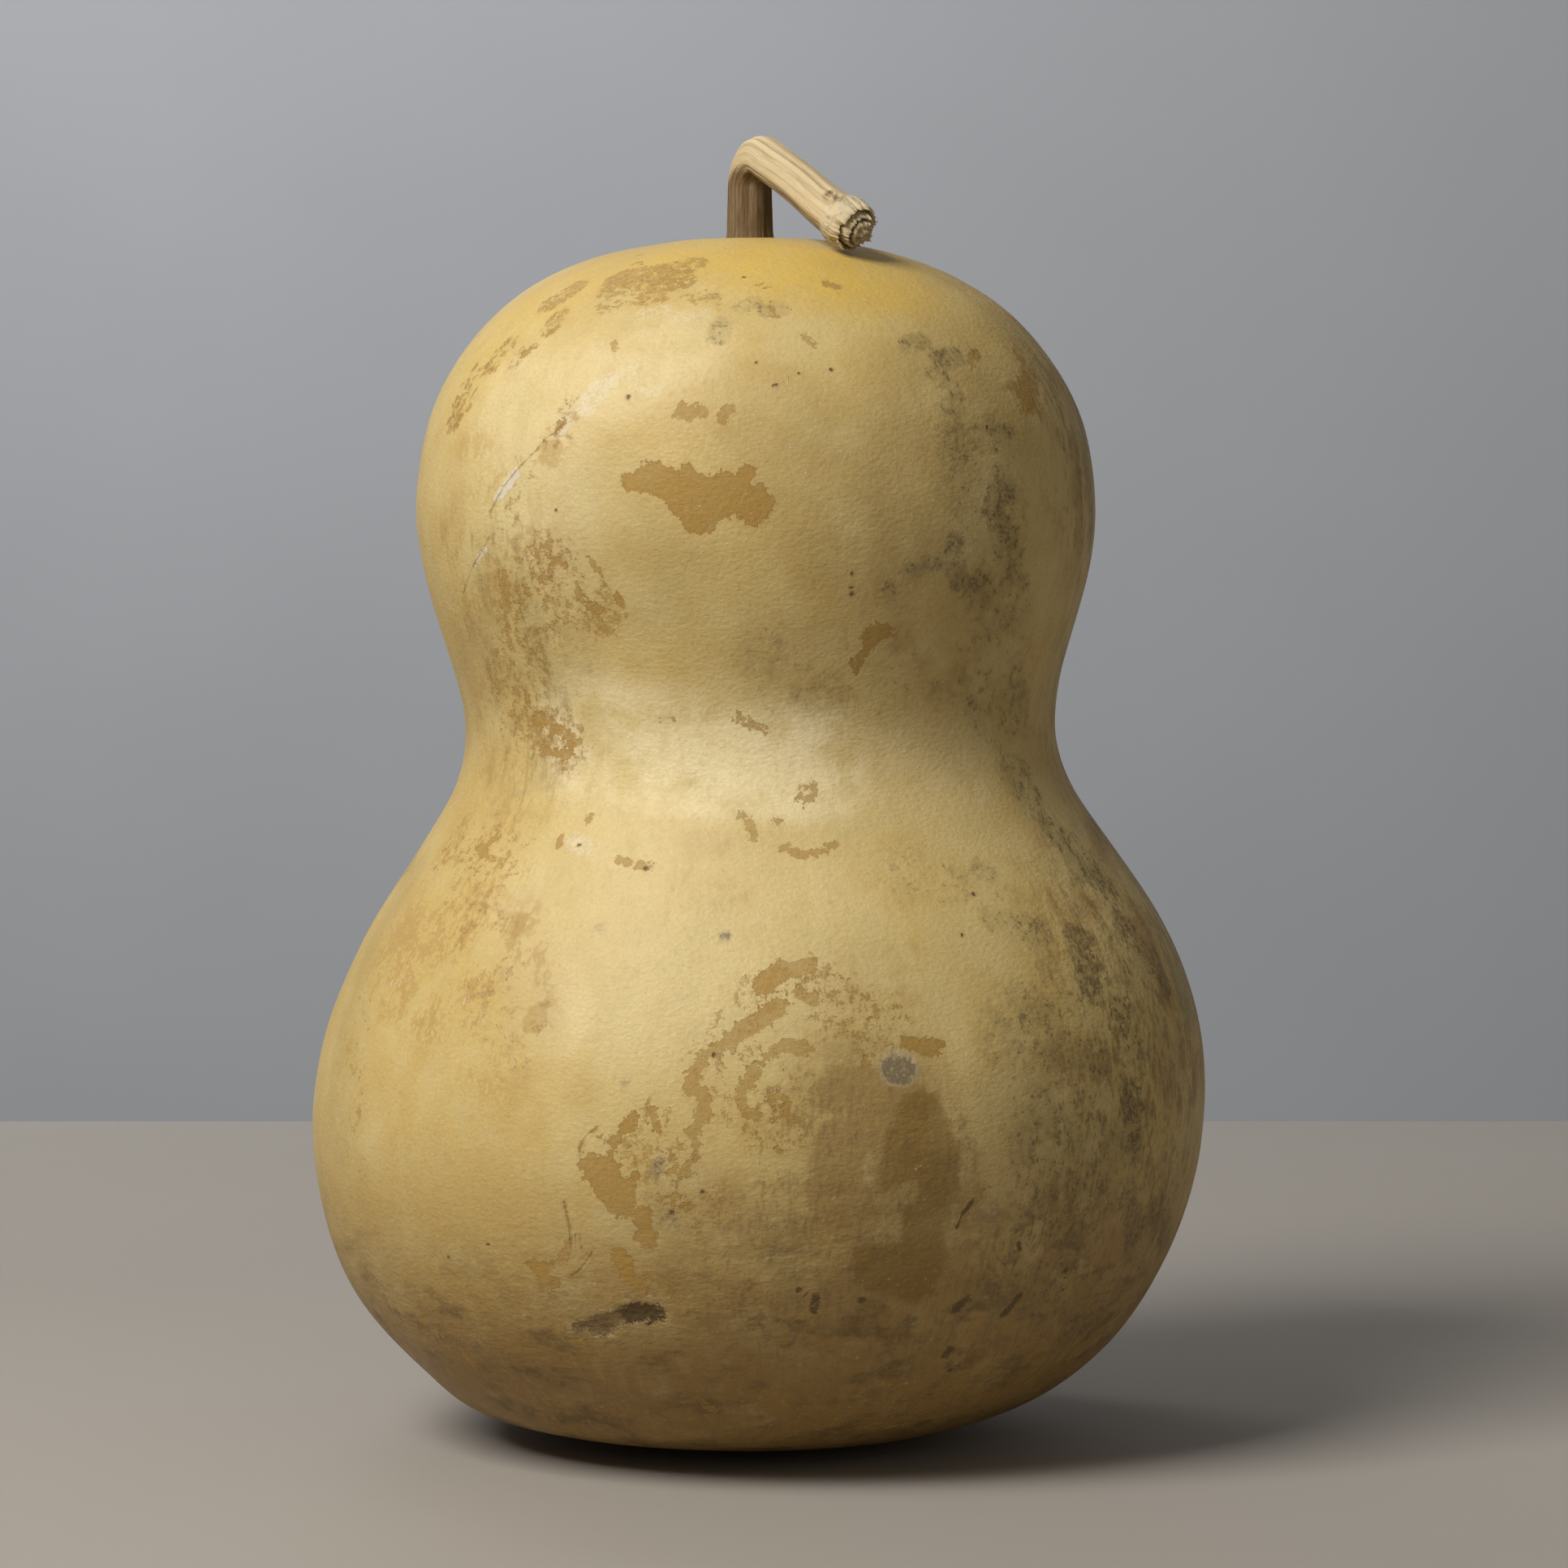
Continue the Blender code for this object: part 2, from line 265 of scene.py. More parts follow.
def on_skin(pixels):
    """The points of the skin behind picture pixels: a flat fit to the eight grid points nearest to each."""
    found = []
    for pixel in pixels:
        offset = front_pixels - pixel
        near = np.argpartition((offset**2).sum(axis=1), FIT_POINTS)[:FIT_POINTS]
        terms = np.column_stack([np.ones(FIT_POINTS), offset[near]])
        found.append(np.linalg.lstsq(terms, front_points[near], rcond=None)[0][0])
    return np.array(found)


def skin_lines(marks):
    """Marks of (half width, pixel, pixel, ...), carried to the skin: (half width, points), both in mm."""
    return [(half_width / PIXELS_PER_MM, on_skin(pixels)) for half_width, *pixels in marks]


def foot_on_line(points, corners):
    """The nearest place to each point on the line through the corners, and the distance to it."""
    foot = np.zeros_like(points)
    best = np.full(len(points), np.inf)
    ends = corners[1:] if len(corners) > 1 else corners
    for start, end in zip(corners, ends):
        run = end - start
        share = np.clip(((points - start) @ run) / max(run @ run, 1e-9), 0.0, 1.0)
        place = start + share[:, None] * run
        gap = np.linalg.norm(points - place, axis=1)
        closer = gap < best
        foot[closer] = place[closer]
        best[closer] = gap[closer]
    return foot, best


def strokes(marks):
    """How far inside the nearest stroke each vertex is, in mm. A mark is (half width, pixel, pixel, ...)."""
    depth = np.full(len(shell_points), -FAR)
    for half_width, corners in skin_lines(marks):
        depth = np.maximum(depth, half_width - foot_on_line(shell_points, corners)[1])
    return depth


def patches(outlines):
    """How far inside the nearest outline each vertex is, in mm: the gap to its edge, negative outside."""
    x, y = all_pixels.T
    depth = np.full(len(shell_points), -FAR)
    for corners in outlines:
        corners = np.array(corners, dtype=float)
        inside = np.zeros(len(x), dtype=bool)
        for (x0, y0), (x1, y1) in zip(corners, np.roll(corners, -1, axis=0)):
            crosses = (y0 > y) != (y1 > y)
            inside ^= crosses & (x < x0 + (x1 - x0) * (y - y0) / (y1 - y0 if y1 != y0 else 1.0))
        gap = foot_on_line(all_pixels, np.vstack([corners, corners[:1]]))[1] / PIXELS_PER_MM
        depth = np.maximum(depth, np.where(facing & inside, gap, np.where(facing, -gap, -FAR)))
    return depth


def clouds(marks):
    """The strength of soft marks, up to 1. A mark is (strength, reach, fade, pixel, pixel, ...)."""
    total = np.zeros(len(shell_points))
    for strength, reach, fade, *pixels in marks:
        gap = foot_on_line(shell_points, on_skin(pixels))[1] * PIXELS_PER_MM
        total = np.maximum(total, strength * smooth_step(-gap, -(reach + fade), -reach))
    return total


def fine_marks(marks):
    """The way along the skin from the nearest mark to each vertex, in half widths, and how near it is.

    A mark is (half width, points in mm). The way is a vector, so it passes through zero between vertices,
    and a mark can be finer than the grid. Its nearness, 1 close by and 0 from 3.2 mm, hides the places
    where the nearest mark changes.
    """
    way = np.zeros_like(shell_points)
    nearest = np.full(len(shell_points), np.inf)
    for half_width, corners in marks:
        foot, gap = foot_on_line(shell_points, corners)
        closer = gap < nearest
        way[closer] = (shell_points - foot)[closer] / half_width
        nearest[closer] = gap[closer]
    way = way - (way * shell_normals).sum(axis=1, keepdims=True) * shell_normals
    return way, smooth_step(-nearest, -NEAR_TO, -NEAR_FROM)


print(len(front_points), "of", len(shell_points), "grid points face the camera")

# %% [markdown]
# # Scabs
# Where the wax and the outermost skin have flaked away, an ochre layer shows, with a crisp lobed edge.
# The largest is a patch on the upper bulb in the shape of spread wings. On the lower bulb the scabs run in
# chains and rings.

# %% Outlines and lines of the scabs
SCAB_OUTLINES = (
    (
        (762, 594), (767, 584), (784, 582), (791, 571), (812, 566), (819, 573), (835, 579), (848, 564),
        (860, 584), (880, 586), (887, 579), (905, 584), (917, 572), (932, 577), (927, 597), (938, 596),
        (945, 597), (943, 603), (954, 616), (957, 625), (946, 634), (939, 644), (933, 651), (920, 645),
        (905, 633), (891, 641), (875, 657), (851, 660), (835, 637), (825, 632), (825, 623), (809, 610),
        (771, 605),
    ),
    (
        (1064, 775), (1075, 768), (1100, 769), (1103, 780), (1086, 789), (1075, 800), (1066, 812),
        (1057, 832), (1045, 830), (1046, 816), (1062, 798), (1062, 784),
    ),
    (
        (716, 1422), (731, 1421), (740, 1427), (747, 1424), (750, 1412), (738, 1407), (737, 1399),
        (749, 1403), (756, 1398), (765, 1389), (767, 1376), (776, 1373), (788, 1372), (787, 1386),
        (780, 1398), (770, 1397), (763, 1406), (757, 1416), (756, 1428), (761, 1437), (769, 1449),
        (776, 1451), (782, 1440), (790, 1443), (789, 1451), (783, 1462), (784, 1478), (779, 1493),
        (772, 1500), (760, 1499), (748, 1493), (741, 1484), (733, 1471), (723, 1457), (716, 1443),
        (713, 1431),
    ),
    (
        (782, 1485), (794, 1488), (804, 1489), (806, 1500), (806, 1516), (813, 1523), (811, 1535),
        (800, 1540), (789, 1536), (780, 1526), (784, 1514), (781, 1500),
    ),
    (
        (748, 1536), (760, 1538), (772, 1541), (780, 1554), (782, 1569), (790, 1578), (803, 1584),
        (801, 1592), (786, 1590), (775, 1583), (766, 1577), (760, 1565), (753, 1550),
    ),
    (
        (643, 1555), (655, 1553), (673, 1556), (677, 1566), (682, 1576), (693, 1580), (694, 1586),
        (682, 1592), (668, 1588), (659, 1575), (653, 1562),
    ),
    (
        (1107, 1283), (1115, 1277), (1135, 1278), (1160, 1280), (1168, 1288), (1160, 1298), (1147, 1303),
        (1134, 1298), (1122, 1293), (1110, 1292),
    ),
)
SCABS_ABOVE = (
    (5, (644, 438), (655, 429)), (5, (675, 412), (687, 402)), (4, (757, 421), (758, 430)),
    (4, (786, 323), (793, 325)), (3, (780, 314), (786, 313)), (8, (838, 504), (850, 510), (864, 506)),
    (5, (848, 516), (854, 502)), (6, (899, 503), (891, 516)), (5, (684, 528), (692, 521)),
    (4, (599, 452), (610, 432), (618, 426)), (3, (558, 500), (572, 476), (584, 450)),
    (3, (562, 522), (578, 502), (590, 484)), (3, (604, 458), (608, 448)), (3, (552, 520), (566, 498)),
    (4, (937, 350), (944, 354)), (6, (950, 376), (955, 386)), (7, (992, 414), (1002, 424)),
    (4, (1198, 440), (1206, 434), (1209, 442)), (4, (1200, 446), (1198, 452)),
    (6, (1020, 350), (1030, 352)),
)
SCABS_AT_WAIST = (
    (6, (678, 690), (694, 698)), (6, (724, 690), (737, 706)), (6, (709, 722), (716, 742)),
    (5, (724, 748), (736, 752)), (6, (760, 734), (768, 748)), (5, (647, 726), (654, 736)),
    (5, (633, 742), (641, 752)), (3, (677, 716)), (9, (664, 887), (690, 900), (712, 915)),
    (6, (668, 928), (700, 930)), (7, (910, 884), (925, 893), (942, 898)), (4, (814, 886), (828, 884)),
)
SCABS_BELOW = (
    (7, (912, 1003), (922, 1010), (930, 1030)), (4, (958, 1008), (962, 1018)),
    (4, (1005, 1050), (1028, 1042)), (4, (985, 985), (988, 970), (1003, 968), (1005, 980), (992, 988)),
    (6, (965, 1044), (985, 1052), (1005, 1052)), (6, (765, 1060), (785, 1066), (800, 1068)),
    (6, (615, 1028), (588, 1047), (606, 1060)), (5, (689, 1034), (686, 1043)),
    (4, (730, 1003), (724, 1012)), (13, (940, 1215), (965, 1195), (995, 1190)),
    (10, (985, 1225), (1003, 1232)), (13, (960, 1240), (935, 1258), (912, 1272)),
    (9, (905, 1283), (890, 1292)), (8, (880, 1295), (900, 1277)),
    (9, (868, 1300), (853, 1325), (851, 1345)), (9, (864, 1346), (870, 1365), (860, 1390), (850, 1396)),
    (5, (857, 1400), (856, 1428)), (6, (846, 1436), (855, 1446), (838, 1448), (826, 1444)),
    (6, (828, 1428), (836, 1440)), (7, (806, 1372), (808, 1388)),
    (9, (948, 1300), (965, 1290), (995, 1292)), (8, (912, 1350), (918, 1368), (930, 1376)),
    (10, (930, 1318), (915, 1345)), (5, (950, 1352), (966, 1350), (972, 1364), (962, 1378), (950, 1372)),
    (5, (1068, 1312), (1076, 1302)), (5, (958, 1415), (962, 1426)),
)
SCABS_LOW = (
    (6, (827, 1484), (833, 1472)), (5, (842, 1487), (856, 1486), (870, 1494)),
    (4, (790, 1576), (806, 1574), (824, 1586)), (5, (822, 1584), (828, 1588)),
    (5, (826, 1598), (838, 1606)), (5, (700, 1530), (699, 1546), (684, 1554)),
    (4, (680, 1556), (679, 1568)), (4, (704, 1652), (724, 1653)),
    (4, (517, 1605), (523, 1622), (518, 1640)), (7, (572, 1672), (588, 1682)),
    (7, (552, 1690), (580, 1706)), (6, (674, 1724), (694, 1734)), (5, (792, 1744), (800, 1748)),
    (6, (862, 1722), (875, 1738), (892, 1738)), (4, (1186, 1508), (1192, 1490), (1206, 1478), (1218, 1464)),
)
FADED_OUTLINES = (
    ((634, 1123), (657, 1126), (650, 1137), (641, 1151), (630, 1157), (620, 1152), (624, 1139)),
    (
        (652, 1240), (662, 1234), (674, 1229), (677, 1250), (671, 1262), (662, 1272), (650, 1275),
        (641, 1270), (643, 1258), (648, 1248),
    ),
    (
        (675, 538), (689, 540), (696, 548), (695, 558), (689, 565), (685, 577), (675, 579), (670, 572),
        (659, 570), (661, 561), (670, 549),
    ),
)
patch_depth = patches(SCAB_OUTLINES)
scab_depth = strokes(SCABS_ABOVE + SCABS_AT_WAIST + SCABS_BELOW + SCABS_LOW)
faded_depth = patches(FADED_OUTLINES)
print("grid points inside scabs:", int((np.maximum(scab_depth, patch_depth) > 0.0).sum()))

# %% [markdown]
# # Stains, mould and scuffs
# Softer marks only need a strength that fades out. The big brown zone low on the right has one crisp edge,
# so it is drawn as an outline. Mould sits in clusters of grey-olive specks, mostly on the right. Pale
# scuffs follow the left shoulder, and a thin yellow-orange film is left on the lower bulb's left side.

# %% Soft marks
BROWN_ZONE = (
    (1118, 1352), (1140, 1343), (1160, 1347), (1171, 1371), (1179, 1396), (1184, 1422), (1185, 1454),
    (1181, 1478), (1172, 1500), (1168, 1528), (1171, 1551), (1162, 1570), (1148, 1594), (1130, 1614),
    (1100, 1604), (1064, 1590), (1052, 1576), (1052, 1536), (1084, 1532), (1108, 1528), (1108, 1488),
    (1129, 1478), (1131, 1450), (1106, 1458), (1089, 1470), (1082, 1440), (1096, 1400),
)
BROWN_MOTTLE = (
    (1.0, 20, 40, (1110, 1365), (1100, 1430)), (0.85, 20, 30, (1035, 1345), (1080, 1350)),
    (0.95, 24, 30, (1040, 1410), (1030, 1470), (1050, 1495)), (0.85, 24, 30, (1070, 1390), (1080, 1440)),
    (0.60, 20, 30, (1070, 1560), (1040, 1590)), (0.60, 16, 24, (1190, 1420), (1200, 1500)),
)
# Painted shade: darker clouds where shade falls, on the shaded right side, under the upper bulb, at the waist
# and at the bottom.
PAINTED_SHADE_WASH = (
    (0.90, 60, 90, (1080, 1380), (1110, 1580)), (0.60, 60, 100, (880, 1560), (1010, 1600)),
    (0.50, 40, 60, (750, 1600), (840, 1580)), (0.85, 50, 120, (1180, 500), (1130, 620), (1180, 790)),
    (0.40, 50, 80, (740, 640), (780, 700)), (0.50, 40, 90, (960, 520), (1040, 640)),
    (0.70, 60, 120, (1300, 1380), (1340, 1580)), (0.45, 30, 60, (960, 820), (1100, 840)),
    (0.60, 30, 50, (600, 820), (560, 940)), (0.60, 20, 40, (505, 1080), (450, 1200)),
    (0.60, 16, 50, (435, 1240), (420, 1400)), (0.60, 60, 80, (700, 1690), (1100, 1700)),
    (0.50, 30, 50, (1290, 1660), (1400, 1560)),
)
STAINS = (
    (0.50, 40, 50, (690, 720), (680, 900)), (0.40, 40, 50, (620, 700), (610, 900)),
    (0.50, 14, 20, (880, 1560), (900, 1580)), (0.45, 20, 30, (960, 1500), (1010, 1570)),
    (0.50, 12, 16, (893, 1470)), (0.50, 12, 18, (820, 1650), (900, 1690)),
    (0.45, 60, 70, (1060, 1240), (1000, 1300)), (0.60, 22, 22, (1010, 1225), (1060, 1235), (1095, 1215)),
    (0.50, 18, 20, (1030, 1262), (1080, 1262)), (0.35, 12, 16, (858, 1040), (885, 1040)),
    (0.40, 30, 60, (830, 1500), (800, 1560)), (0.45, 24, 30, (640, 1130), (655, 1255)),
    (0.40, 60, 60, (900, 1740), (1100, 1740)), (0.55, 8, 10, (1037, 785)), (0.50, 5, 7, (1127, 1165)),
    (0.30, 10, 20, (930, 800), (1000, 850)), (0.40, 16, 20, (1075, 730), (1110, 800)),
)
ORANGE_OUTLINE = (
    (1249, 424), (1262, 436), (1272, 458), (1281, 478), (1282, 508), (1270, 518), (1258, 508), (1250, 488),
    (1234, 481), (1244, 468), (1256, 460), (1258, 446), (1248, 436),
)
MOULD = (
    (0.60, 10, 14, (883, 414), (892, 398)), (0.60, 10, 12, (915, 378), (928, 372)),
    (0.70, 10, 14, (945, 382), (960, 380)), (0.75, 10, 12, (1120, 426), (1137, 416)),
    (0.80, 12, 14, (1158, 442), (1178, 438)), (0.75, 9, 12, (1151, 460), (1172, 476)),
    (0.70, 8, 12, (1183, 490), (1166, 500)), (0.80, 7, 8, (1204, 436)),
    (0.60, 8, 14, (1218, 527), (1244, 533)), (0.85, 14, 20, (1236, 600), (1222, 630), (1240, 668)),
    (0.85, 10, 12, (1176, 668), (1172, 690), (1184, 716), (1208, 716)),
    (0.70, 9, 14, (1120, 706), (1150, 692)), (0.60, 7, 12, (1096, 724)), (0.70, 9, 14, (1262, 720)),
    (0.50, 40, 60, (1200, 560), (1230, 880)), (0.34, 40, 60, (960, 820), (1180, 840)),
    (0.75, 10, 10, (1206, 1068), (1220, 1076)), (0.65, 22, 30, (1250, 950), (1300, 1020)),
    (0.60, 20, 30, (1325, 1045), (1360, 1090)), (0.55, 16, 26, (1228, 1136), (1274, 1150)),
    (0.75, 16, 24, (1330, 1160), (1345, 1220)), (0.60, 18, 30, (1385, 1140), (1430, 1200)),
    (0.55, 14, 30, (1255, 1230), (1270, 1250)), (0.60, 16, 30, (1385, 1250), (1400, 1300)),
    (0.70, 14, 26, (1395, 1355), (1400, 1415)), (0.70, 14, 24, (1390, 1475), (1400, 1520)),
    (0.60, 14, 24, (1425, 1490), (1435, 1530)), (0.65, 16, 26, (1320, 1640), (1350, 1625)),
    (0.40, 10, 20, (1275, 1360), (1300, 1365)), (0.45, 14, 20, (1170, 1375), (1190, 1410)),
    (0.45, 60, 90, (1300, 1300), (1300, 1560)), (0.36, 30, 50, (1130, 1075), (1200, 1080)),
)
SCUFFS = (
    (0.80, 10, 16, (722, 498), (750, 468)), (0.60, 12, 16, (778, 455), (800, 475)),
    (0.60, 6, 24, (770, 392), (815, 382)), (0.50, 5, 22, (835, 392), (868, 384)),
    (0.60, 7, 12, (700, 508), (690, 530)), (0.45, 10, 14, (738, 432), (765, 446)),
    (0.55, 8, 14, (850, 350), (880, 360)), (0.60, 10, 12, (706, 1036), (724, 1046)),
    (0.50, 12, 20, (720, 900), (735, 940)),
)
FILM = (
    (0.80, 30, 60, (545, 1080), (620, 1060)), (0.95, 60, 70, (500, 1170), (560, 1210)),
    (0.50, 30, 50, (590, 900), (570, 1000)), (0.45, 24, 50, (590, 440), (650, 400)),
    (0.50, 20, 40, (580, 560), (600, 600)), (0.70, 40, 60, (640, 1180), (600, 1290)),
    (0.60, 14, 50, (440, 1240), (430, 1420)), (0.55, 24, 50, (640, 700), (620, 860)),
)
# Mostly painted light and painted highlights, on the lit waist and the lit shoulders of both bulbs; the two
# small ones by the grey spot are truly pale.
PAINTED_LIGHT_AND_PALE = (
    (1.0, 50, 60, (720, 905), (800, 925), (900, 940), (1000, 945)),
    (0.40, 40, 60, (1060, 950), (1180, 945)), (0.28, 120, 120, (800, 1120), (900, 1140)),
    (0.55, 60, 70, (660, 620), (640, 500)), (0.45, 30, 50, (640, 1100), (690, 1240)),
    (0.50, 26, 10, (1106, 1320)), (0.80, 6, 5, (1118, 1342), (1088, 1334)),
    (0.50, 40, 60, (720, 460), (830, 430)),
)
CROWN = (
    (1.0, 30, 130, (860, 316), (960, 320), (1050, 335)), (0.55, 30, 90, (600, 440), (700, 350), (800, 320)),
)
FLAKY = (
    (0.78, 26, 16, (770, 345), (800, 338), (830, 345)), (0.72, 18, 14, (826, 330), (850, 325)),
    (0.66, 14, 14, (750, 378), (756, 350)), (0.60, 14, 16, (775, 366), (805, 368)),
    (0.55, 12, 16, (850, 362), (876, 366)), (0.72, 18, 14, (680, 372), (705, 356)),
    (0.64, 12, 14, (676, 402), (690, 388)), (0.64, 14, 16, (604, 450), (622, 428)),
    (0.62, 16, 18, (560, 515), (580, 465)), (0.50, 10, 14, (640, 440), (655, 428)),
    (0.46, 12, 20, (700, 505), (680, 540)), (0.40, 16, 24, (640, 590), (620, 640)),
    (0.50, 30, 40, (680, 700), (730, 745)), (0.44, 40, 50, (650, 740), (630, 880)),
    (0.52, 24, 30, (665, 895), (705, 920)), (0.40, 30, 50, (560, 1050), (620, 1060)),
    (0.34, 30, 40, (600, 1160), (570, 1110)), (0.30, 30, 50, (600, 1200), (640, 1270)),
    (0.36, 16, 40, (450, 1230), (440, 1420)), (0.46, 30, 40, (800, 1400), (850, 1480)),
    (0.50, 24, 30, (940, 1230), (1000, 1200)), (0.46, 40, 50, (900, 1310), (960, 1370)),
    (0.44, 50, 60, (560, 1680), (700, 1730)), (0.48, 40, 60, (880, 1740), (1150, 1720)),
    (0.46, 30, 40, (1030, 1230), (1080, 1260)), (0.44, 14, 24, (777, 1656), (820, 1668)),
)
AGED = (
    (1.0, 120, 160, (1340, 560), (1330, 900), (1420, 1200), (1380, 1500), (1200, 1700)),
    (0.7, 60, 90, (560, 1680), (800, 1760), (1000, 1770)), (0.55, 60, 120, (600, 720), (640, 900)),
    (0.8, 90, 120, (1060, 1450), (1000, 1600)), (0.5, 10, 30, (508, 1060), (530, 1010), (560, 960)),
)
GREY_SPOTS = (
    (0.80, 5, 8, (893, 1152)), (0.70, 4, 6, (770, 1333)), (0.95, 15, 10, (1104, 1317), (1112, 1318)),
    (0.60, 5, 8, (814, 1428), (811, 1444)), (0.45, 6, 9, (739, 1143)),
    (0.50, 5, 8, (815, 1495), (832, 1508)), (0.40, 8, 16, (1215, 1490), (1222, 1500)),
)
SOFT_MARKS = {
    "mottle": BROWN_MOTTLE, "shade_wash": PAINTED_SHADE_WASH, "stain": STAINS, "mould": MOULD, "scuff": SCUFFS, "film": FILM,
    "pale": PAINTED_LIGHT_AND_PALE, "crown": CROWN, "flaky": FLAKY, "aged": AGED, "grey_spot": GREY_SPOTS,
}
LOW_FROM_Z, LOW_FULL_Z = 85.0, 14.0

soft = {name: clouds(marks) for name, marks in SOFT_MARKS.items()}
# Darker towards the bottom: partly the rind's own brown, partly painted shade from the dark ground below.
soft["low"] = smooth_step(-shell_points[:, 2], -LOW_FROM_Z, -LOW_FULL_Z)
zone_depth, orange_depth = patches((BROWN_ZONE,)), patches((ORANGE_OUTLINE,))
print("grid points that soft marks reach:", {name: int((cloud > 0.1).sum()) for name, cloud in soft.items()})

# %% [markdown]
# # Pits, a crack and a scar
# Small dark pits are knocks that have gone through the skin. A hair crack crosses the left shoulder. Low on
# the lower bulb is a scar: the skin is torn open there, and it is sunken and dark. The scar is deep enough
# to be shaped in the mesh. The rest is left to the material.

# %% Pits, crack and scar
PITS = (
    (2.4, (774, 489)), (2.2, (985, 460)), (2.2, (954, 475)), (2.0, (957, 474)), (2.2, (1025, 455)),
    (2.6, (796, 1070)), (2.6, (713, 1041)), (3.4, (828, 1495)), (2.4, (553, 1550)), (2.4, (601, 1534)),
    (6.0, (1005, 1600), (1007, 1610)), (3.2, (1000, 1612), (1004, 1618)), (5.4, (1063, 1603)),
    (6.0, (1178, 1614), (1192, 1602)), (6.0, (1167, 1670), (1172, 1664)), (3.6, (1171, 1690)),
    (4.4, (1314, 1566)), (2.4, (1311, 1590)), (5.0, (1237, 1620), (1256, 1596)), (2.6, (1050, 707)),
    (2.8, (1050, 732)), (3.4, (985, 1590)), (2.6, (880, 1300)), (2.6, (866, 1470)),
    (2.6, (1255, 1532), (1257, 1540)), (2.4, (1217, 527)), (2.4, (1200, 1102)), (2.4, (1186, 1152)),
    (2.4, (1404, 1562)), (2.4, (1180, 1512)), (3.0, (1188, 1496), (1200, 1480)), (1.8, (684, 629)),
    (2.0, (932, 446)), (2.0, (917, 341)),
)
CRACKS = (
    (
        1.1, (693, 522), (684, 532), (672, 540), (659, 556), (645, 570), (633, 582), (622, 597), (613, 614),
        (605, 630),
    ),
    (1.0, (603, 662), (594, 680), (585, 694), (578, 712), (571, 732)),
    (1.5, (695, 1482), (699, 1502), (702, 1518), (703, 1535)), (1.3, (714, 1523), (716, 1540)),
    (1.6, (729, 1544), (722, 1556), (714, 1567), (703, 1573)),
    (1.6, (715, 1424), (714, 1413), (723, 1400), (737, 1388)), (0.9, (575, 500), (589, 476)),
)
FLAKES = (
    (1.0, 4, 6, (634, 584), (624, 598), (614, 612)), (0.7, 2, 5, (598, 676), (588, 692)),
    (0.5, 3, 5, (690, 534), (704, 520)),
)
HALO = ((1.0, 15, 8, (1104, 1317), (1112, 1318)), (0.8, 5, 4, (712, 1038)))
SCAR_OUTLINE = (
    (699, 1641), (706, 1634), (714, 1628), (730, 1623), (748, 1617), (760, 1611), (775, 1605), (795, 1604),
    (811, 1607), (821, 1614), (823, 1621), (820, 1629), (806, 1630), (794, 1632), (780, 1632), (767, 1634),
    (762, 1641), (756, 1645), (746, 1649), (735, 1648), (714, 1643),
)
SCAR_DARK = ((1.0, 14, 14, (786, 1619), (812, 1618)),)
SCAR_SINK = 0.45  # mm
SCAR_RIM, SCAR_WALL = -0.3, 1.6  # mm inside its outline where it starts to sink, and where it is deepest

pit_marks = skin_lines(PITS)
crack_way, crack_near = fine_marks(skin_lines(CRACKS))
scar_depth = patches((SCAR_OUTLINE,))
soft.update(flake=clouds(FLAKES), halo=clouds(HALO), scar_dark=clouds(SCAR_DARK))
print("scar covers", int((scar_depth > 0.0).sum()), "grid points")

# %% [markdown]
# # Marks on the hidden sides
# The picture shows only the front. The sides and the back of a gourd that dried on the ground carry the
# same kinds of marks, so a seeded draw spreads them there, by angle and height. The skin also looks older
# behind, and most so on the right.

# %% Scabs, stains, mould and pits drawn by lot
SCATTER_SEED = 41
HIDDEN_FROM, HIDDEN_TO = 15.0, 165.0  # degrees from +X: the back half
START_LOW, START_HIGH = 14.0, 250.0  # heights in mm at which a walk may start
WALK_LOW, WALK_HIGH = 10.0, 255.0  # and between which it stays
SCATTERED_SCABS, SCATTERED_CLOUDS, SCATTERED_PITS = 46, 4, 26
SCAB_STRIDE, CLOUD_STEPS, CLOUD_STRIDE = 4.0, 3, 9.0
WEAKEST_CLOUD = 0.45
SCATTERED_KINDS = (  # what it is, its reach and fade in mm, and its greatest strength
    ("stain", 9.0, 14.0, 0.9), ("mould", 8.0, 14.0, 0.9), ("flaky", 5.0, 9.0, 0.9), ("scuff", 3.0, 9.0, 0.5),
)
AGED_BEHIND, AGED_MORE_AT_RIGHT = 0.65, 0.30
rising = int(np.argmax(outline[:, 1]))  # the outline rises up to this point, and then dips into the dimple
draw = np.random.default_rng(SCATTER_SEED)


def on_back(degrees, heights):
    """Skin points in mm at these angles and heights."""
    radius = np.interp(heights, outline[:rising, 1], outline[:rising, 0])
    return shell_place(radius, heights, np.radians(degrees))


def wandering(count, stride):
    """A short random walk over the hidden skin: angles and heights summed from random steps, in mm."""
    start = draw.uniform(HIDDEN_FROM, HIDDEN_TO), draw.uniform(START_LOW, START_HIGH)
    walk = np.cumsum(draw.normal(0.0, stride, (count, 2)), axis=0)
    return on_back(start[0] + walk[:, 0], np.clip(start[1] + walk[:, 1], WALK_LOW, WALK_HIGH))


for _ in range(SCATTERED_SCABS):
    reach = draw.uniform(0.6, 2.4)
    gap = foot_on_line(shell_points, wandering(draw.integers(1, 6), SCAB_STRIDE))[1]
    scab_depth = np.maximum(scab_depth, reach - gap)
for name, reach, fade, most in SCATTERED_KINDS:
    for _ in range(SCATTERED_CLOUDS):
        gap = foot_on_line(shell_points, wandering(CLOUD_STEPS, CLOUD_STRIDE))[1]
        strength = most * draw.uniform(WEAKEST_CLOUD, 1.0)
        soft[name] = np.maximum(soft[name], strength * smooth_step(-gap, -reach - fade, -reach))
for _ in range(SCATTERED_PITS):
    pit_marks.append((draw.uniform(0.4, 1.0), wandering(1, 0.0)))
pit_way, pit_near = fine_marks(pit_marks)

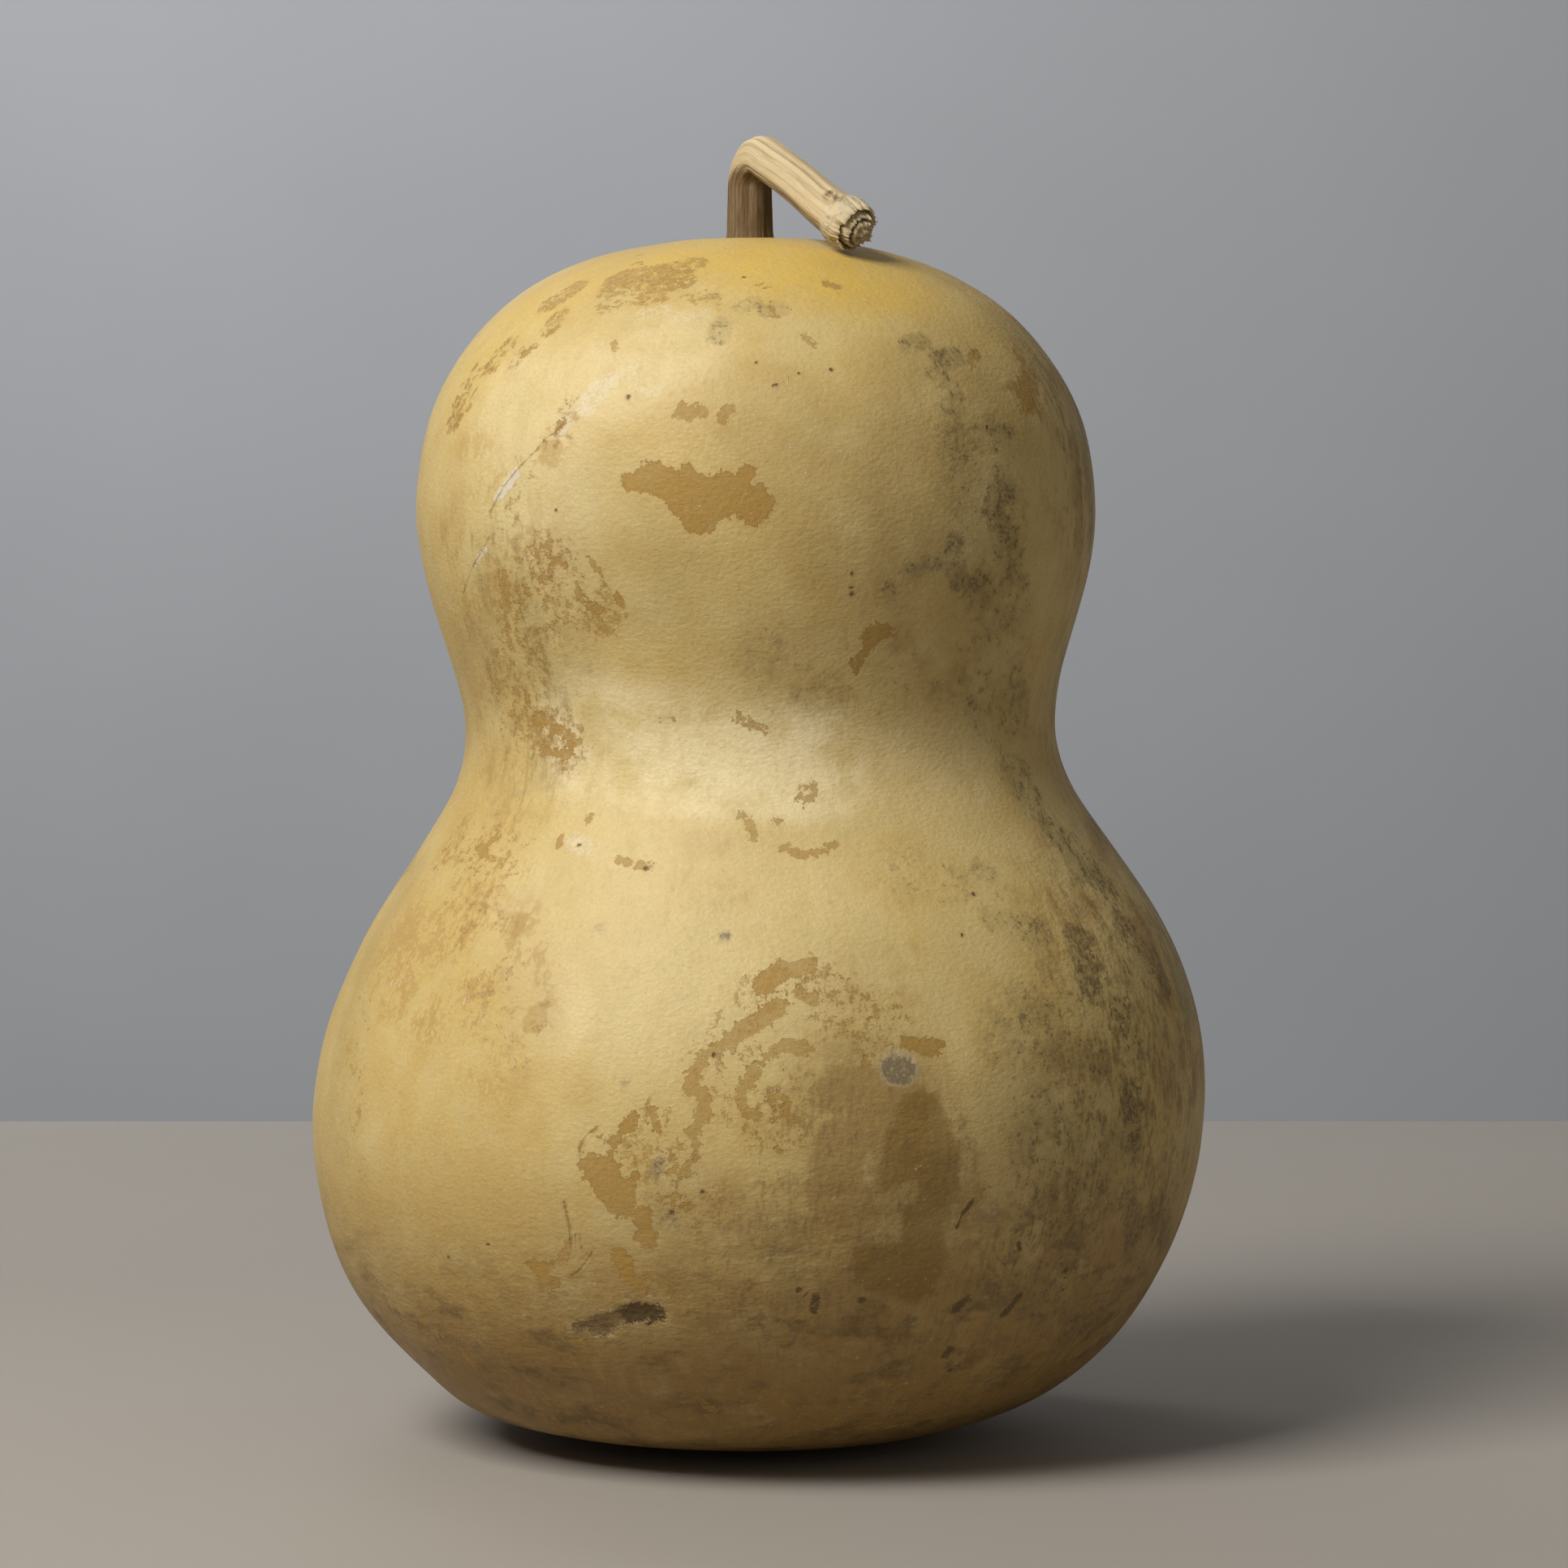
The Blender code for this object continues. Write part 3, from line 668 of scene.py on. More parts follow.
to_right = smooth_step(shell_points[:, 0], -40.0, 60.0)
behind = smooth_step(shell_points[:, 1], -20.0 - 25.0 * to_right, 45.0 - 40.0 * to_right)
soft["aged"] = np.maximum(soft["aged"], (AGED_BEHIND + AGED_MORE_AT_RIGHT * to_right) * behind)
scattered = SCATTERED_SCABS + SCATTERED_CLOUDS * len(SCATTERED_KINDS) + SCATTERED_PITS
print("marks drawn by lot:", scattered)

# %% [markdown]
# # The shell as a mesh
# A real shell isn't quite smooth: it dried unevenly, so it has a soft undulation of a tenth of a millimetre
# or two. It is a sum of slow waves, always inwards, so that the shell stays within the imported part's box.
# It fades out at the flat spot and at the seat, where other things touch the shell. The scar sinks deeper.

# %% Undulation, scar and mesh of the shell
UNDULATION_SEED = 5
UNDULATION_WAVES = 14
UNDULATION_DEPTH = 0.15  # mm
SHORTEST_WAVE, LONGEST_WAVE = 22.0, 60.0  # mm
CALM_BELOW_Z, WAVY_ABOVE_Z = 1.0, 12.0
CALM_WITHIN_R, WAVY_BEYOND_R = 10.0, 24.0

waves = np.random.default_rng(UNDULATION_SEED)
swell = np.zeros(len(shell_points))
for _ in range(UNDULATION_WAVES):
    direction = waves.normal(0.0, 1.0, 3)
    length = waves.uniform(SHORTEST_WAVE, LONGEST_WAVE)
    travelled = shell_points @ direction / np.linalg.norm(direction)
    swell += np.sin(travelled * 2.0 * math.pi / length + waves.uniform(0.0, 6.3))
swell /= math.sqrt(UNDULATION_WAVES / 2.0)
radii = np.hypot(shell_points[:, 0], shell_points[:, 1])
fade = smooth_step(shell_points[:, 2], CALM_BELOW_Z, WAVY_ABOVE_Z)
fade = fade * smooth_step(radii, CALM_WITHIN_R, WAVY_BEYOND_R)
sink = UNDULATION_DEPTH * (1.0 + np.clip(swell, -1.0, 1.0)) * fade
sink += SCAR_SINK * smooth_step(scar_depth, SCAR_RIM, SCAR_WALL)
shaped = shell_points - sink[:, None] * shell_normals
rind = closed_tube("rind", shaped.reshape(shell_grid.shape))

stored = {
    **soft, "scab": scab_depth, "patch": patch_depth, "faded": faded_depth, "zone": zone_depth,
    "orange": orange_depth, "scar": scar_depth, "pit_way": pit_way, "pit_near": pit_near,
    "crack_way": crack_way, "crack_near": crack_near,
    "skin_map": round_map(column_angle, shell_grid[:, :, 2] / 100.0),
}
for name, values in stored.items():
    keep_on(rind, name, values)
triangles = len(rind.data.loops) - 2 * len(rind.data.polygons)
print("rind:", len(rind.data.vertices), "points,", triangles, "triangles")

# %% [markdown]
# # Writing materials as formulas
# A material is a graph of nodes, but most of it is arithmetic. `Wire` stands for one output of a node, and
# its operators add Math nodes, so `1 - mask` can be written as it is. `Finish` holds one material's graph.

# %% Wire and Finish
class Wire:
    """One number that varies over a surface. Sums, differences and products of wires add Math nodes."""

    def __init__(self, finish, socket):
        self.finish = finish
        self.socket = socket

    def __add__(self, other):
        return self.finish.maths("ADD", self, other)

    def __radd__(self, other):
        return self.finish.maths("ADD", other, self)

    def __sub__(self, other):
        return self.finish.maths("SUBTRACT", self, other)

    def __rsub__(self, other):
        return self.finish.maths("SUBTRACT", other, self)

    def __mul__(self, other):
        return self.finish.maths("MULTIPLY", self, other)

    def __rmul__(self, other):
        return self.finish.maths("MULTIPLY", other, self)


class Finish:
    """The node graph of one material, and the colour that has been laid on so far."""

    def __init__(self, name):
        self.material = bpy.data.materials.new(name)
        self.material.use_nodes = True
        self.nodes = self.material.node_tree.nodes
        self.links = self.material.node_tree.links
        self.shader = self.nodes["Principled BSDF"]
        self.colour = None

    def plug(self, node, name, value):
        """Gives a node's socket a value or a link. Sockets are found by identifier first, then by name."""
        found = {s.identifier: s for s in node.inputs}.get(name) or node.inputs[name]
        if isinstance(value, Wire):
            self.links.new(value.socket, found)
        else:
            found.default_value = value

    def add(self, kind, settings=None, values=None, out=0):
        """Adds a node of any type: its settings first, then its sockets. Returns one of its outputs."""
        node = self.nodes.new(kind)
        for name, value in (settings or {}).items():
            setattr(node, name, value)
        for name, value in (values or {}).items():
            self.plug(node, name, value)
        return Wire(self, node.outputs[out])

    def maths(self, operation, a, b):
        """A Math node on two numbers."""
        return self.add("ShaderNodeMath", {"operation": operation}, {"Value": a, "Value_001": b})

    def clamped(self, value):
        """The value, kept between 0 and 1."""
        return self.add("ShaderNodeClamp", None, {"Value": value})

    def step(self, value, low, high):
        """0 where the value is low, 1 where it is high, and a smooth rise between."""
        limits = {"Value": value, "From Min": low, "From Max": high}
        return self.add("ShaderNodeMapRange", {"interpolation_type": "SMOOTHSTEP"}, limits)

    def mix(self, share, below, above):
        """One colour over another: the share of the upper one is a number from 0 to 1."""
        values = {"Factor_Float": share, "A_Color": below, "B_Color": above}
        return self.add("ShaderNodeMix", {"data_type": "RGBA"}, values, out=2)

    def lay(self, share, colour):
        """Lays a colour over all that was laid on before."""
        self.colour = self.mix(share, self.colour, colour)

    def tint(self, amount):
        """Makes the colour darker or lighter by a varying amount, and keeps its hue."""
        scaled = {"Vector": self.colour, "Scale": amount}
        self.colour = self.add("ShaderNodeVectorMath", {"operation": "SCALE"}, scaled)

    def stored(self, name, out=2):
        """A number kept on the vertices. Output 1 gives a stored vector."""
        return self.add("ShaderNodeAttribute", {"attribute_name": name}, None, out)

    def place(self, stretch=(1.0, 1.0, 1.0), source=None):
        """Object coordinates in metres, or another source, with each axis stretched."""
        source = source or self.add("ShaderNodeTexCoord", None, None, out=3)
        return self.add("ShaderNodeMapping", None, {"Vector": source, "Scale": stretch})

    def noise(self, place, scale, detail, rough):
        """Fractal noise from 0 to 1 about 0.5."""
        values = {"Vector": place, "Scale": scale, "Detail": detail, "Roughness": rough}
        return self.add("ShaderNodeTexNoise", None, values)

    def length(self, way):
        """The length of a vector."""
        return self.add("ShaderNodeVectorMath", {"operation": "LENGTH"}, {"Vector": way}, out=1)

    def finish_with(self, rough, height):
        """Links what varies to the shader: the colour, a roughness, and a height in mm as bump."""
        bump = self.add("ShaderNodeBump", None, {"Height": height, "Distance": MM, "Strength": 1.0})
        self.plug(self.shader, "Base Color", self.colour)
        self.plug(self.shader, "Roughness", rough)
        self.plug(self.shader, "Normal", bump)
        return self.material


print("a wire can be used in sums, differences and products, with numbers on either side")

# %% [markdown]
# # The finish of the rind
# The colour is laid on in the order in which it grew. First comes the cream of the dry shell, a little uneven
# and faintly streaked from pole to pole, yellow at the crown, and brown and creased where it is low or old.
# Light and shade are painted in with it: paler clouds as painted light on the waist and the lit shoulders, a
# darker wash as painted shade on the right and under the upper bulb, and a darker bottom that is partly
# painted shade. Then come the stains and the mould, then the scabs, and last the pits, the crack and the
# scar. The wax gives a soft satin gloss, which the scabs lack. Noise pushes every edge out and in.

# %% Colours of the rind
CREAM = (0.64, 0.495, 0.212, 1.0)
STRAW = (0.57, 0.410, 0.145, 1.0)
CROWN_YELLOW = (0.68, 0.462, 0.098, 1.0)
OLIVE_CAST = (0.39, 0.325, 0.135, 1.0)
WARM_CAST = (0.45, 0.280, 0.095, 1.0)
# Used for painted shade in the shade wash, and for real brown flecks.
SHADE_AND_FLECK_BROWN = (0.37, 0.265, 0.105, 1.0)
LOW_BROWN_AND_SHADE = (0.27, 0.148, 0.036, 1.0)
FILM_YELLOW = (0.60, 0.435, 0.145, 1.0)
FILM_OCHRE = (0.47, 0.30, 0.10, 1.0)
# Used for painted light in the pale clouds, and for real pale wear, bleaching and rims.
PALE_CREAM_AND_PAINTED_LIGHT = (0.79, 0.665, 0.385, 1.0)
SCUFF_GREY = (0.70, 0.64, 0.52, 1.0)
OCHRE = (0.385, 0.232, 0.054, 1.0)
OCHRE_DARK = (0.27, 0.150, 0.036, 1.0)
STAIN_BROWN = (0.33, 0.210, 0.070, 1.0)
STAIN_ORANGE = (0.34, 0.190, 0.032, 1.0)
ZONE_BROWN = (0.25, 0.150, 0.034, 1.0)
MOULD_OLIVE = (0.20, 0.155, 0.070, 1.0)
SPECK_DARK = (0.110, 0.078, 0.030, 1.0)
SPOT_GREY = (0.27, 0.215, 0.135, 1.0)
SPOT_DARK = (0.110, 0.083, 0.050, 1.0)
PIT_BROWN = (0.090, 0.058, 0.026, 1.0)
SCAR_BROWN = (0.23, 0.152, 0.068, 1.0)
SCAR_BLACK = (0.070, 0.044, 0.020, 1.0)
STREAK_BROWN = (0.19, 0.130, 0.055, 1.0)
CREASE_DARK = (0.105, 0.068, 0.024, 1.0)

# %% Noises and stored marks that the rind reads
skin = Finish("gourd_rind")
spot = skin.place()
meridian = skin.place((1.0, 1.0, 0.35), skin.stored("skin_map", out=1))
broad = skin.noise(spot, 22.0, 2.0, 0.55)
hue = skin.noise(skin.place((1.3, 1.3, 0.8)), 40.0, 2.0, 0.6)
patchy = skin.noise(spot, 75.0, 3.0, 0.62)
lobed = skin.noise(spot, 470.0, 3.0, 0.62)
ragged = skin.noise(spot, 1500.0, 2.0, 0.6)
crumbs = skin.noise(spot, 1000.0, 2.0, 0.5)
fibres = skin.noise(meridian, 26.0, 3.0, 0.6)
fine_fibres = skin.noise(meridian, 90.0, 3.0, 0.6)
pucker = skin.noise(skin.place((1.0, 1.0, 2.2)), 85.0, 3.0, 0.60)
leather = skin.noise(skin.place((1.0, 1.0, 1.5)), 800.0, 3.0, 0.55)
lengthwise = skin.noise(skin.place((0.28, 0.28, 1.5)), 900.0, 2.0, 0.6)
patchy_push, lobed_push, ragged_push, crumbs_push = (noise - 0.5 for noise in (patchy, lobed, ragged, crumbs))
names = ("aged", "mould", "scuff", "flaky", "low", "film", "mottle", "grey_spot", "crack_near", "pit_near")
here = {name: skin.stored(name) for name in names}
print("the rind reads", len(here), "of its marks more than once")

# %% Ground colour of the rind
skin.colour = skin.mix(skin.step(broad * 0.5 + patchy * 0.5, 0.38, 0.62), CREAM, STRAW)
crown_mask = skin.clamped(skin.stored("crown") * (patchy_push * 1.4 + 1.0))
skin.lay(crown_mask * 0.85, CROWN_YELLOW)
# Painted light: the pale clouds brighten the waist and the lit shoulders of the bulbs.
skin.lay(skin.stored("pale") * skin.step(patchy, 0.25, 0.60), PALE_CREAM_AND_PAINTED_LIGHT)
skin.lay(skin.step(hue, 0.50, 0.68) * (here["aged"] * 0.60 + 0.10), OLIVE_CAST)
skin.lay(skin.step(hue, 0.50, 0.32) * (here["aged"] * 0.65 + 0.10), WARM_CAST)
# Painted shade: the shade wash darkens the rind where shade falls.
skin.lay(skin.clamped(skin.stored("shade_wash") * (patchy_push * 1.3 + lobed_push + 0.55)), SHADE_AND_FLECK_BROWN)
# The bottom darkens, partly as its own brown and partly as painted shade.
skin.lay(skin.clamped(here["low"] * (patchy_push * 0.8 + 1.0)) * 0.85, LOW_BROWN_AND_SHADE)
skin.lay(skin.step(fibres, 0.50, 0.74) * 0.25, STRAW)
film_mask = skin.step(here["film"] + patchy_push * 1.8, 0.10, 0.90)
skin.lay(film_mask * 0.34, FILM_YELLOW)
film_web = skin.step(patchy * 0.40 + lobed * 0.35 + fine_fibres * 0.25, 0.490, 0.535) * here["film"]
skin.lay(film_web * 0.78, FILM_OCHRE)
film_wear = skin.step(fine_fibres * 0.5 + lobed * 0.5, 0.56, 0.64) * here["film"]
skin.lay(film_wear * 0.55, PALE_CREAM_AND_PAINTED_LIGHT)
print("film, crown and low parts are laid on")

# %% Fine mottling and creases of the rind
foxing = skin.step(patchy * 0.30 + lobed * 0.45 + crumbs * 0.25, 0.49, 0.60)
skin.lay(foxing * (here["aged"] * 0.24 + 0.15), STAIN_BROWN)
flecks = skin.step(patchy * 0.35 + ragged * 0.35 + crumbs * 0.30, 0.56, 0.63)
skin.lay(flecks * (here["aged"] * 0.20 + 0.10), SHADE_AND_FLECK_BROWN)
bleached = skin.step(patchy * 0.35 + ragged * 0.30 + lobed * 0.35, 0.44, 0.38)
skin.lay(bleached * 0.16, PALE_CREAM_AND_PAINTED_LIGHT)
creases = skin.step(pucker + lobed_push * 0.40 + crumbs_push * 0.16, 0.49, 0.68)
creases = creases * skin.step(here["low"] + here["aged"] * 0.25, 0.25, 0.95)
skin.lay(creases * 0.60, CREASE_DARK)
bands = skin.step(fibres * 0.40 + patchy * 0.35 + lobed * 0.25, 0.495, 0.580)
skin.lay(bands * here["aged"] * 0.42, STAIN_BROWN)
print("ground colour:", len(skin.nodes), "nodes")

# %% Stains and mould of the rind
stain_spread = skin.step(patchy * 0.45 + lobed * 0.35 + ragged * 0.2, 0.40, 0.60)
skin.lay(skin.clamped(skin.stored("stain") * stain_spread) * 0.75, STAIN_BROWN)
mottle_noise = patchy * 0.30 + lobed * 0.45 + crumbs * 0.25
mottle_mask = skin.step(mottle_noise + (here["mottle"] - 0.5) * 0.28, 0.37, 0.58)
mottle_reach = skin.step(here["mottle"] + patchy_push * 1.3 + lobed_push * 0.5, 0.10, 0.80)
skin.lay(mottle_mask * mottle_reach * 0.74, STAIN_BROWN)
zone = skin.stored("zone") + patchy_push * 3.0 + lobed_push * 2.4 + here["mottle"] * 1.2
skin.lay(skin.clamped(skin.step(zone, -0.4, 1.8) * (patchy_push + 0.72)), ZONE_BROWN)
orange_mask = skin.step(skin.stored("orange") + (fine_fibres - 0.5) * 5.0 + lobed_push * 4.0, -0.6, 1.4)
skin.lay(orange_mask * 0.75, STAIN_ORANGE)
streak_noise = fine_fibres * 0.45 + fibres * 0.25 + crumbs * 0.15 + patchy * 0.15
streaks = skin.step(streak_noise + here["aged"] * 0.05, 0.520, 0.64)
skin.lay(streaks * (here["aged"] * 0.52 + 0.03), STREAK_BROWN)
veil = skin.step(here["mould"] + patchy_push * 1.5 + lobed_push * 1.2, 0.22, 1.00)
skin.lay(veil * 0.46, MOULD_OLIVE)
speck_noise = crumbs * 0.25 + ragged * 0.30 + lobed * 0.30 + fine_fibres * 0.07 + patchy * 0.08
specks = skin.step(speck_noise + (here["mould"] - 0.5) * 0.12 + here["aged"] * 0.015, 0.520, 0.620)
skin.lay(specks * skin.step(here["mould"] + here["aged"] * 0.15, 0.02, 0.50) * 0.72, SPECK_DARK)
haze = skin.step(patchy * 0.35 + lobed * 0.20 + ragged * 0.45 + (here["scuff"] - 0.5) * 0.20, 0.44, 0.62)
scuff_mask = haze * skin.step(here["scuff"], 0.02, 0.85)
skin.lay(scuff_mask * 0.52, SCUFF_GREY)
print("with stains and mould:", len(skin.nodes), "nodes")

# %% Scabs and grey spots of the rind
faded = skin.step(skin.stored("faded") + lobed_push * 2.6 + ragged_push * 1.6, -0.3, 0.5)
skin.lay(faded * 0.42, OCHRE)
flaky_noise = patchy * 0.25 + lobed * 0.45 + ragged * 0.30
flaky = skin.step(flaky_noise + (here["flaky"] - 0.5) * 0.26, 0.490, 0.540)
flaky = flaky * skin.step(here["flaky"], 0.04, 0.16)
flaky_cover = skin.clamped(here["flaky"] * 0.40 + lobed_push + crumbs_push * 1.2 + 0.30)
skin.lay(flaky * flaky_cover, skin.mix(skin.step(ragged, 0.4, 0.6), OCHRE, OCHRE_DARK))

patch = skin.stored("patch") + lobed_push * 3.2 + crumbs_push * 2.0 + ragged_push * 1.6
chain = skin.stored("scab") + patchy_push * 1.6 + lobed_push * 4.6 + crumbs_push * 1.6 + ragged_push * 1.6
scab = skin.maths("MAXIMUM", patch, chain)
scab_mask = skin.step(scab, -0.08, 0.14)
scab_colour = skin.mix(skin.step(scab, 0.70, 0.05) * 0.45, OCHRE, OCHRE_DARK)
scab_grain = skin.step(lobed * 0.4 + crumbs * 0.3 + ragged * 0.3, 0.50, 0.64)
scab_colour = skin.mix(scab_grain * 0.45, scab_colour, OCHRE_DARK)
scab_cover = skin.step(patch, -0.08, 0.12) * 0.18 + 0.70 + patchy_push * 0.6 + crumbs_push * 0.3
skin.lay(skin.clamped(scab_mask * scab_cover), scab_colour)
skin.lay(skin.step(skin.stored("halo") + lobed_push * 0.8, 0.05, 0.60) * 0.40, PALE_CREAM_AND_PAINTED_LIGHT)
grey_mask = skin.step(here["grey_spot"] + lobed_push * 1.4 + ragged_push, 0.10, 0.95)
spot_centre = skin.step(here["grey_spot"] + lobed_push * 1.6 + ragged_push * 1.2, 0.55, 1.00)
skin.lay(grey_mask * 0.80, skin.mix(spot_centre * 0.85, SPOT_GREY, SPOT_DARK))
print("with scabs:", len(skin.nodes), "nodes")

# %% Pits, cracks and the scar of the rind
crack = skin.length(skin.stored("crack_way", out=1)) + ragged_push * 2.4
crack_line = skin.step(crack, 1.5, 0.6) * here["crack_near"]
crack_edge = skin.step(crack, 5.0, 1.5) * here["crack_near"] * skin.step(lobed, 0.40, 0.60)
flake_mask = skin.step(skin.stored("flake") + ragged_push * 1.4 + lobed_push, 0.30, 0.60)
skin.lay(crack_edge * 0.28, OCHRE_DARK)
skin.lay(flake_mask * 0.70, SCUFF_GREY)
skin.lay(crack_line * skin.step(lobed, 0.34, 0.56) * 0.62, OCHRE_DARK)
pit = skin.length(skin.stored("pit_way", out=1)) + lobed_push * 2.2 + ragged_push * 1.6
pit_mask = skin.step(pit, 1.45, 0.35) * here["pit_near"]
skin.lay(skin.step(pit, 2.6, 1.2) * here["pit_near"] * 0.35, STAIN_BROWN)
skin.lay(pit_mask * 0.78, PIT_BROWN)
scar = skin.stored("scar") + lobed_push * 2.4 + ragged_push * 2.0 + crumbs_push * 2.0
scar_mask = skin.step(scar, -0.2, 0.9)
scar_edge = skin.step(scar, -1.4, -0.2) * (1.0 - scar_mask)
scar_deep = skin.step(skin.stored("scar_dark") * 0.42 + lengthwise, 0.46, 0.78)
skin.lay(scar_edge * 0.25 * skin.step(lengthwise, 0.45, 0.60), PALE_CREAM_AND_PAINTED_LIGHT)
skin.lay(scar_mask * 0.85, skin.mix(scar_deep, SCAR_BROWN, SCAR_BLACK))
skin.tint(patchy_push * 0.26 + lobed_push * 0.34 + crumbs_push * 0.22 + ragged_push * 0.30 + 1.0)
print("with pits, cracks and the scar:", len(skin.nodes), "nodes")

# %% Relief and gloss of the rind
relief = leather * 0.18 + ragged * 0.035 + patchy * 0.13 + lobed * 0.05
relief = relief + pucker * (here["low"] * 0.80 + here["aged"] * 0.40)
relief = relief - scab_mask * 0.05 - flaky * 0.04 - pit_mask * 0.25 - crack_line * 0.10 + flake_mask * 0.06
relief = relief - scar_mask * (crumbs * 0.3 + lobed * 0.3)
roughness = scab_mask * 0.10 + veil * 0.06 + scuff_mask * 0.08 + scar_mask * 0.35
roughness = roughness + (leather - 0.5) * 0.10 + 0.52
rind.data.materials.append(skin.finish_with(roughness, relief))
skin.shader.inputs["Specular IOR Level"].default_value = 0.30
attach(rind, "root")
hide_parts("gourd")
print("rind material:", len(skin.nodes), "nodes")

# %% [markdown]
# # The stalk
# The dried stalk rises from the dimple, folds over sharply and hangs to the right and forwards. It is
# ribbed along its whole length, like a bundle of canes, and ends in a swollen node that was torn from the
# vine. Sweeping one ribbed ring along the bent line gives all of it, with no seam at the fold.

# %% Middle line of the stalk
STALK_LENGTH = 53.0  # mm along the middle line, to where its swollen end begins
# distance along it in mm, lean from the upright and direction to the front from +X, both in degrees
STALK_PATH = ((0, 0, 72), (13.5, 0, 72), (26.5, 115, 60), (36, 120, 46), (46, 125, 45), (53, 119, 44))
STALK_RADIUS = ((0, 6.3), (1.5, 5.6), (4, 5.2), (11, 5.0), (23, 4.8), (38, 4.8), (48, 5.0), (53, 5.2))
STALK_FOOT = np.array((-2.0, 0.0, SEAT_Z + 0.06))
STALK_STEP = 0.4
STALK_SIDES = 240
FOOT_SINK, FOOT_LENGTH = 0.6, 6.0  # the foot goes into the seat by this much in mm, over this length

distance = np.arange(0.0, STALK_LENGTH + STALK_STEP / 2.0, STALK_STEP)
known, lean, around = np.array(STALK_PATH, dtype=float).T
lean = np.radians(np.interp(distance, known, lean))[:, None]
around = np.radians(np.interp(distance, known, around))
outward = np.stack([np.cos(around), -np.sin(around), np.zeros_like(around)], axis=1)
upward = np.array([[0.0, 0.0, 1.0]])
along = np.sin(lean) * outward + np.cos(lean) * upward
inward = np.cos(lean) * outward - np.sin(lean) * upward
middle = np.vstack([(0.0, 0.0, 0.0), np.cumsum((along[1:] + along[:-1]) / 2.0 * STALK_STEP, axis=0)])
print("stalk ends at", np.round(middle[-1] + STALK_FOOT, 1), "mm")

# %% Ribs, fibres and the torn end
# degrees round the stalk, depth as a share of its radius, and half width in degrees
GROOVES = (
    (38, 0.12, 12), (90, 0.12, 13), (140, 0.06, 14), (176, 0.030, 12), (205, 0.105, 6), (237, 0.085, 8),
    (268, 0.030, 10), (300, 0.050, 9), (338, 0.08, 14),
)
SHALLOW_AT_FOOT, SHALLOW_AT_END = 0.35, 0.25
FIBRE_SEED = 12
FIBRE_COUNT = 70
# rings past the end of the middle line: how far on, and their radius, both in mm
TORN_END = (
    (0.5, 5.35), (1.0, 5.5), (1.8, 5.75), (2.6, 5.9), (3.5, 5.95), (4.4, 5.9), (5.2, 5.75), (5.9, 5.6),
    (6.5, 5.35), (6.9, 5.1), (6.95, 4.95), (6.6, 4.8), (5.7, 4.65), (4.9, 4.5), (4.7, 4.25), (5.2, 4.05),
    (6.3, 3.95), (7.4, 3.8), (8.1, 3.55), (8.2, 3.3), (7.7, 3.1), (7.6, 2.9), (8.2, 2.7), (9.0, 2.45),
    (9.4, 2.15), (9.2, 1.9), (9.1, 1.7), (9.5, 1.4), (10.0, 1.0), (10.1, 0.5),
)

angle = np.linspace(0.0, 2.0 * math.pi, STALK_SIDES, endpoint=False)
advance, end_radius = np.array(TORN_END).T
past = np.concatenate([np.zeros_like(distance), advance])[:, None]
travel = np.concatenate([distance, distance[-1] + advance])[:, None]
radius = np.concatenate([np.interp(distance, *np.array(STALK_RADIUS, dtype=float).T), end_radius])[:, None]
middle = np.vstack([middle, middle[-1] + advance[:, None] * along[-1]])
along, inward = (np.vstack([way, np.repeat(way[-1:], len(advance), axis=0)]) for way in (along, inward))
across = np.cross(along, inward)


def hump(place, width):
    """A ridge along the stalk: exp of minus the square of a / width, where a is the angle from its place."""
    away = (np.degrees(angle) - place + 180.0) % 360.0 - 180.0
    return np.exp(-((away / width) ** 2))


groove = np.zeros((len(travel), STALK_SIDES))
for place, depth, width in GROOVES:
    groove += depth * hump(place, width)
groove *= SHALLOW_AT_FOOT + (1.0 - SHALLOW_AT_FOOT) * smooth_step(travel, 0.0, 8.0)
groove *= 1.0 - (1.0 - SHALLOW_AT_END) * smooth_step(past, 0.0, 3.0)

fibre_draw = np.random.default_rng(FIBRE_SEED)
fibre = np.zeros_like(groove)
for _ in range(FIBRE_COUNT):
    centre = fibre_draw.uniform(0.0, 360.0) + fibre_draw.normal(0.0, 0.25) * travel
    start = fibre_draw.uniform(-10.0, 45.0)
    end = start + fibre_draw.uniform(8.0, 34.0)
    run = smooth_step(travel, start, start + 4.0) * smooth_step(-travel, -end, 5.0 - end)
    fibre += fibre_draw.uniform(0.005, 0.020) * run * hump(centre, fibre_draw.uniform(1.6, 3.2))
deepest = [round(float(share.max()), 3) for share in (groove, fibre)]
print("deepest rib and fibre, as shares of the radius:", deepest)

# %% [markdown]
# # The torn end
# Where the stalk was torn off, its layers broke at different places. Each layer's rim is a fringe of fibre
# ends: a sum of many waves round the rim pushes its points on and back, and each layer has its own waves.
# The skin before it is wrinkled. The two small rings on the node are the scars of a tendril and a leaf.

# %% Ragged layers, wrinkles and knot scars
TEAR_SEED = 23
TEAR_WAVES = 59
TEAR_FROM, TEAR_FULL = 4.6, 6.6  # mm past the end of the middle line
TEAR_DEPTH = 0.42
OUTER_LAYER_R, MIDDLE_LAYER_R = 4.3, 2.4
KNOT_ANGLE, KNOT_ADVANCE, KNOT_R = 214.0, 1.5, 1.4
NODE_R = 5.6

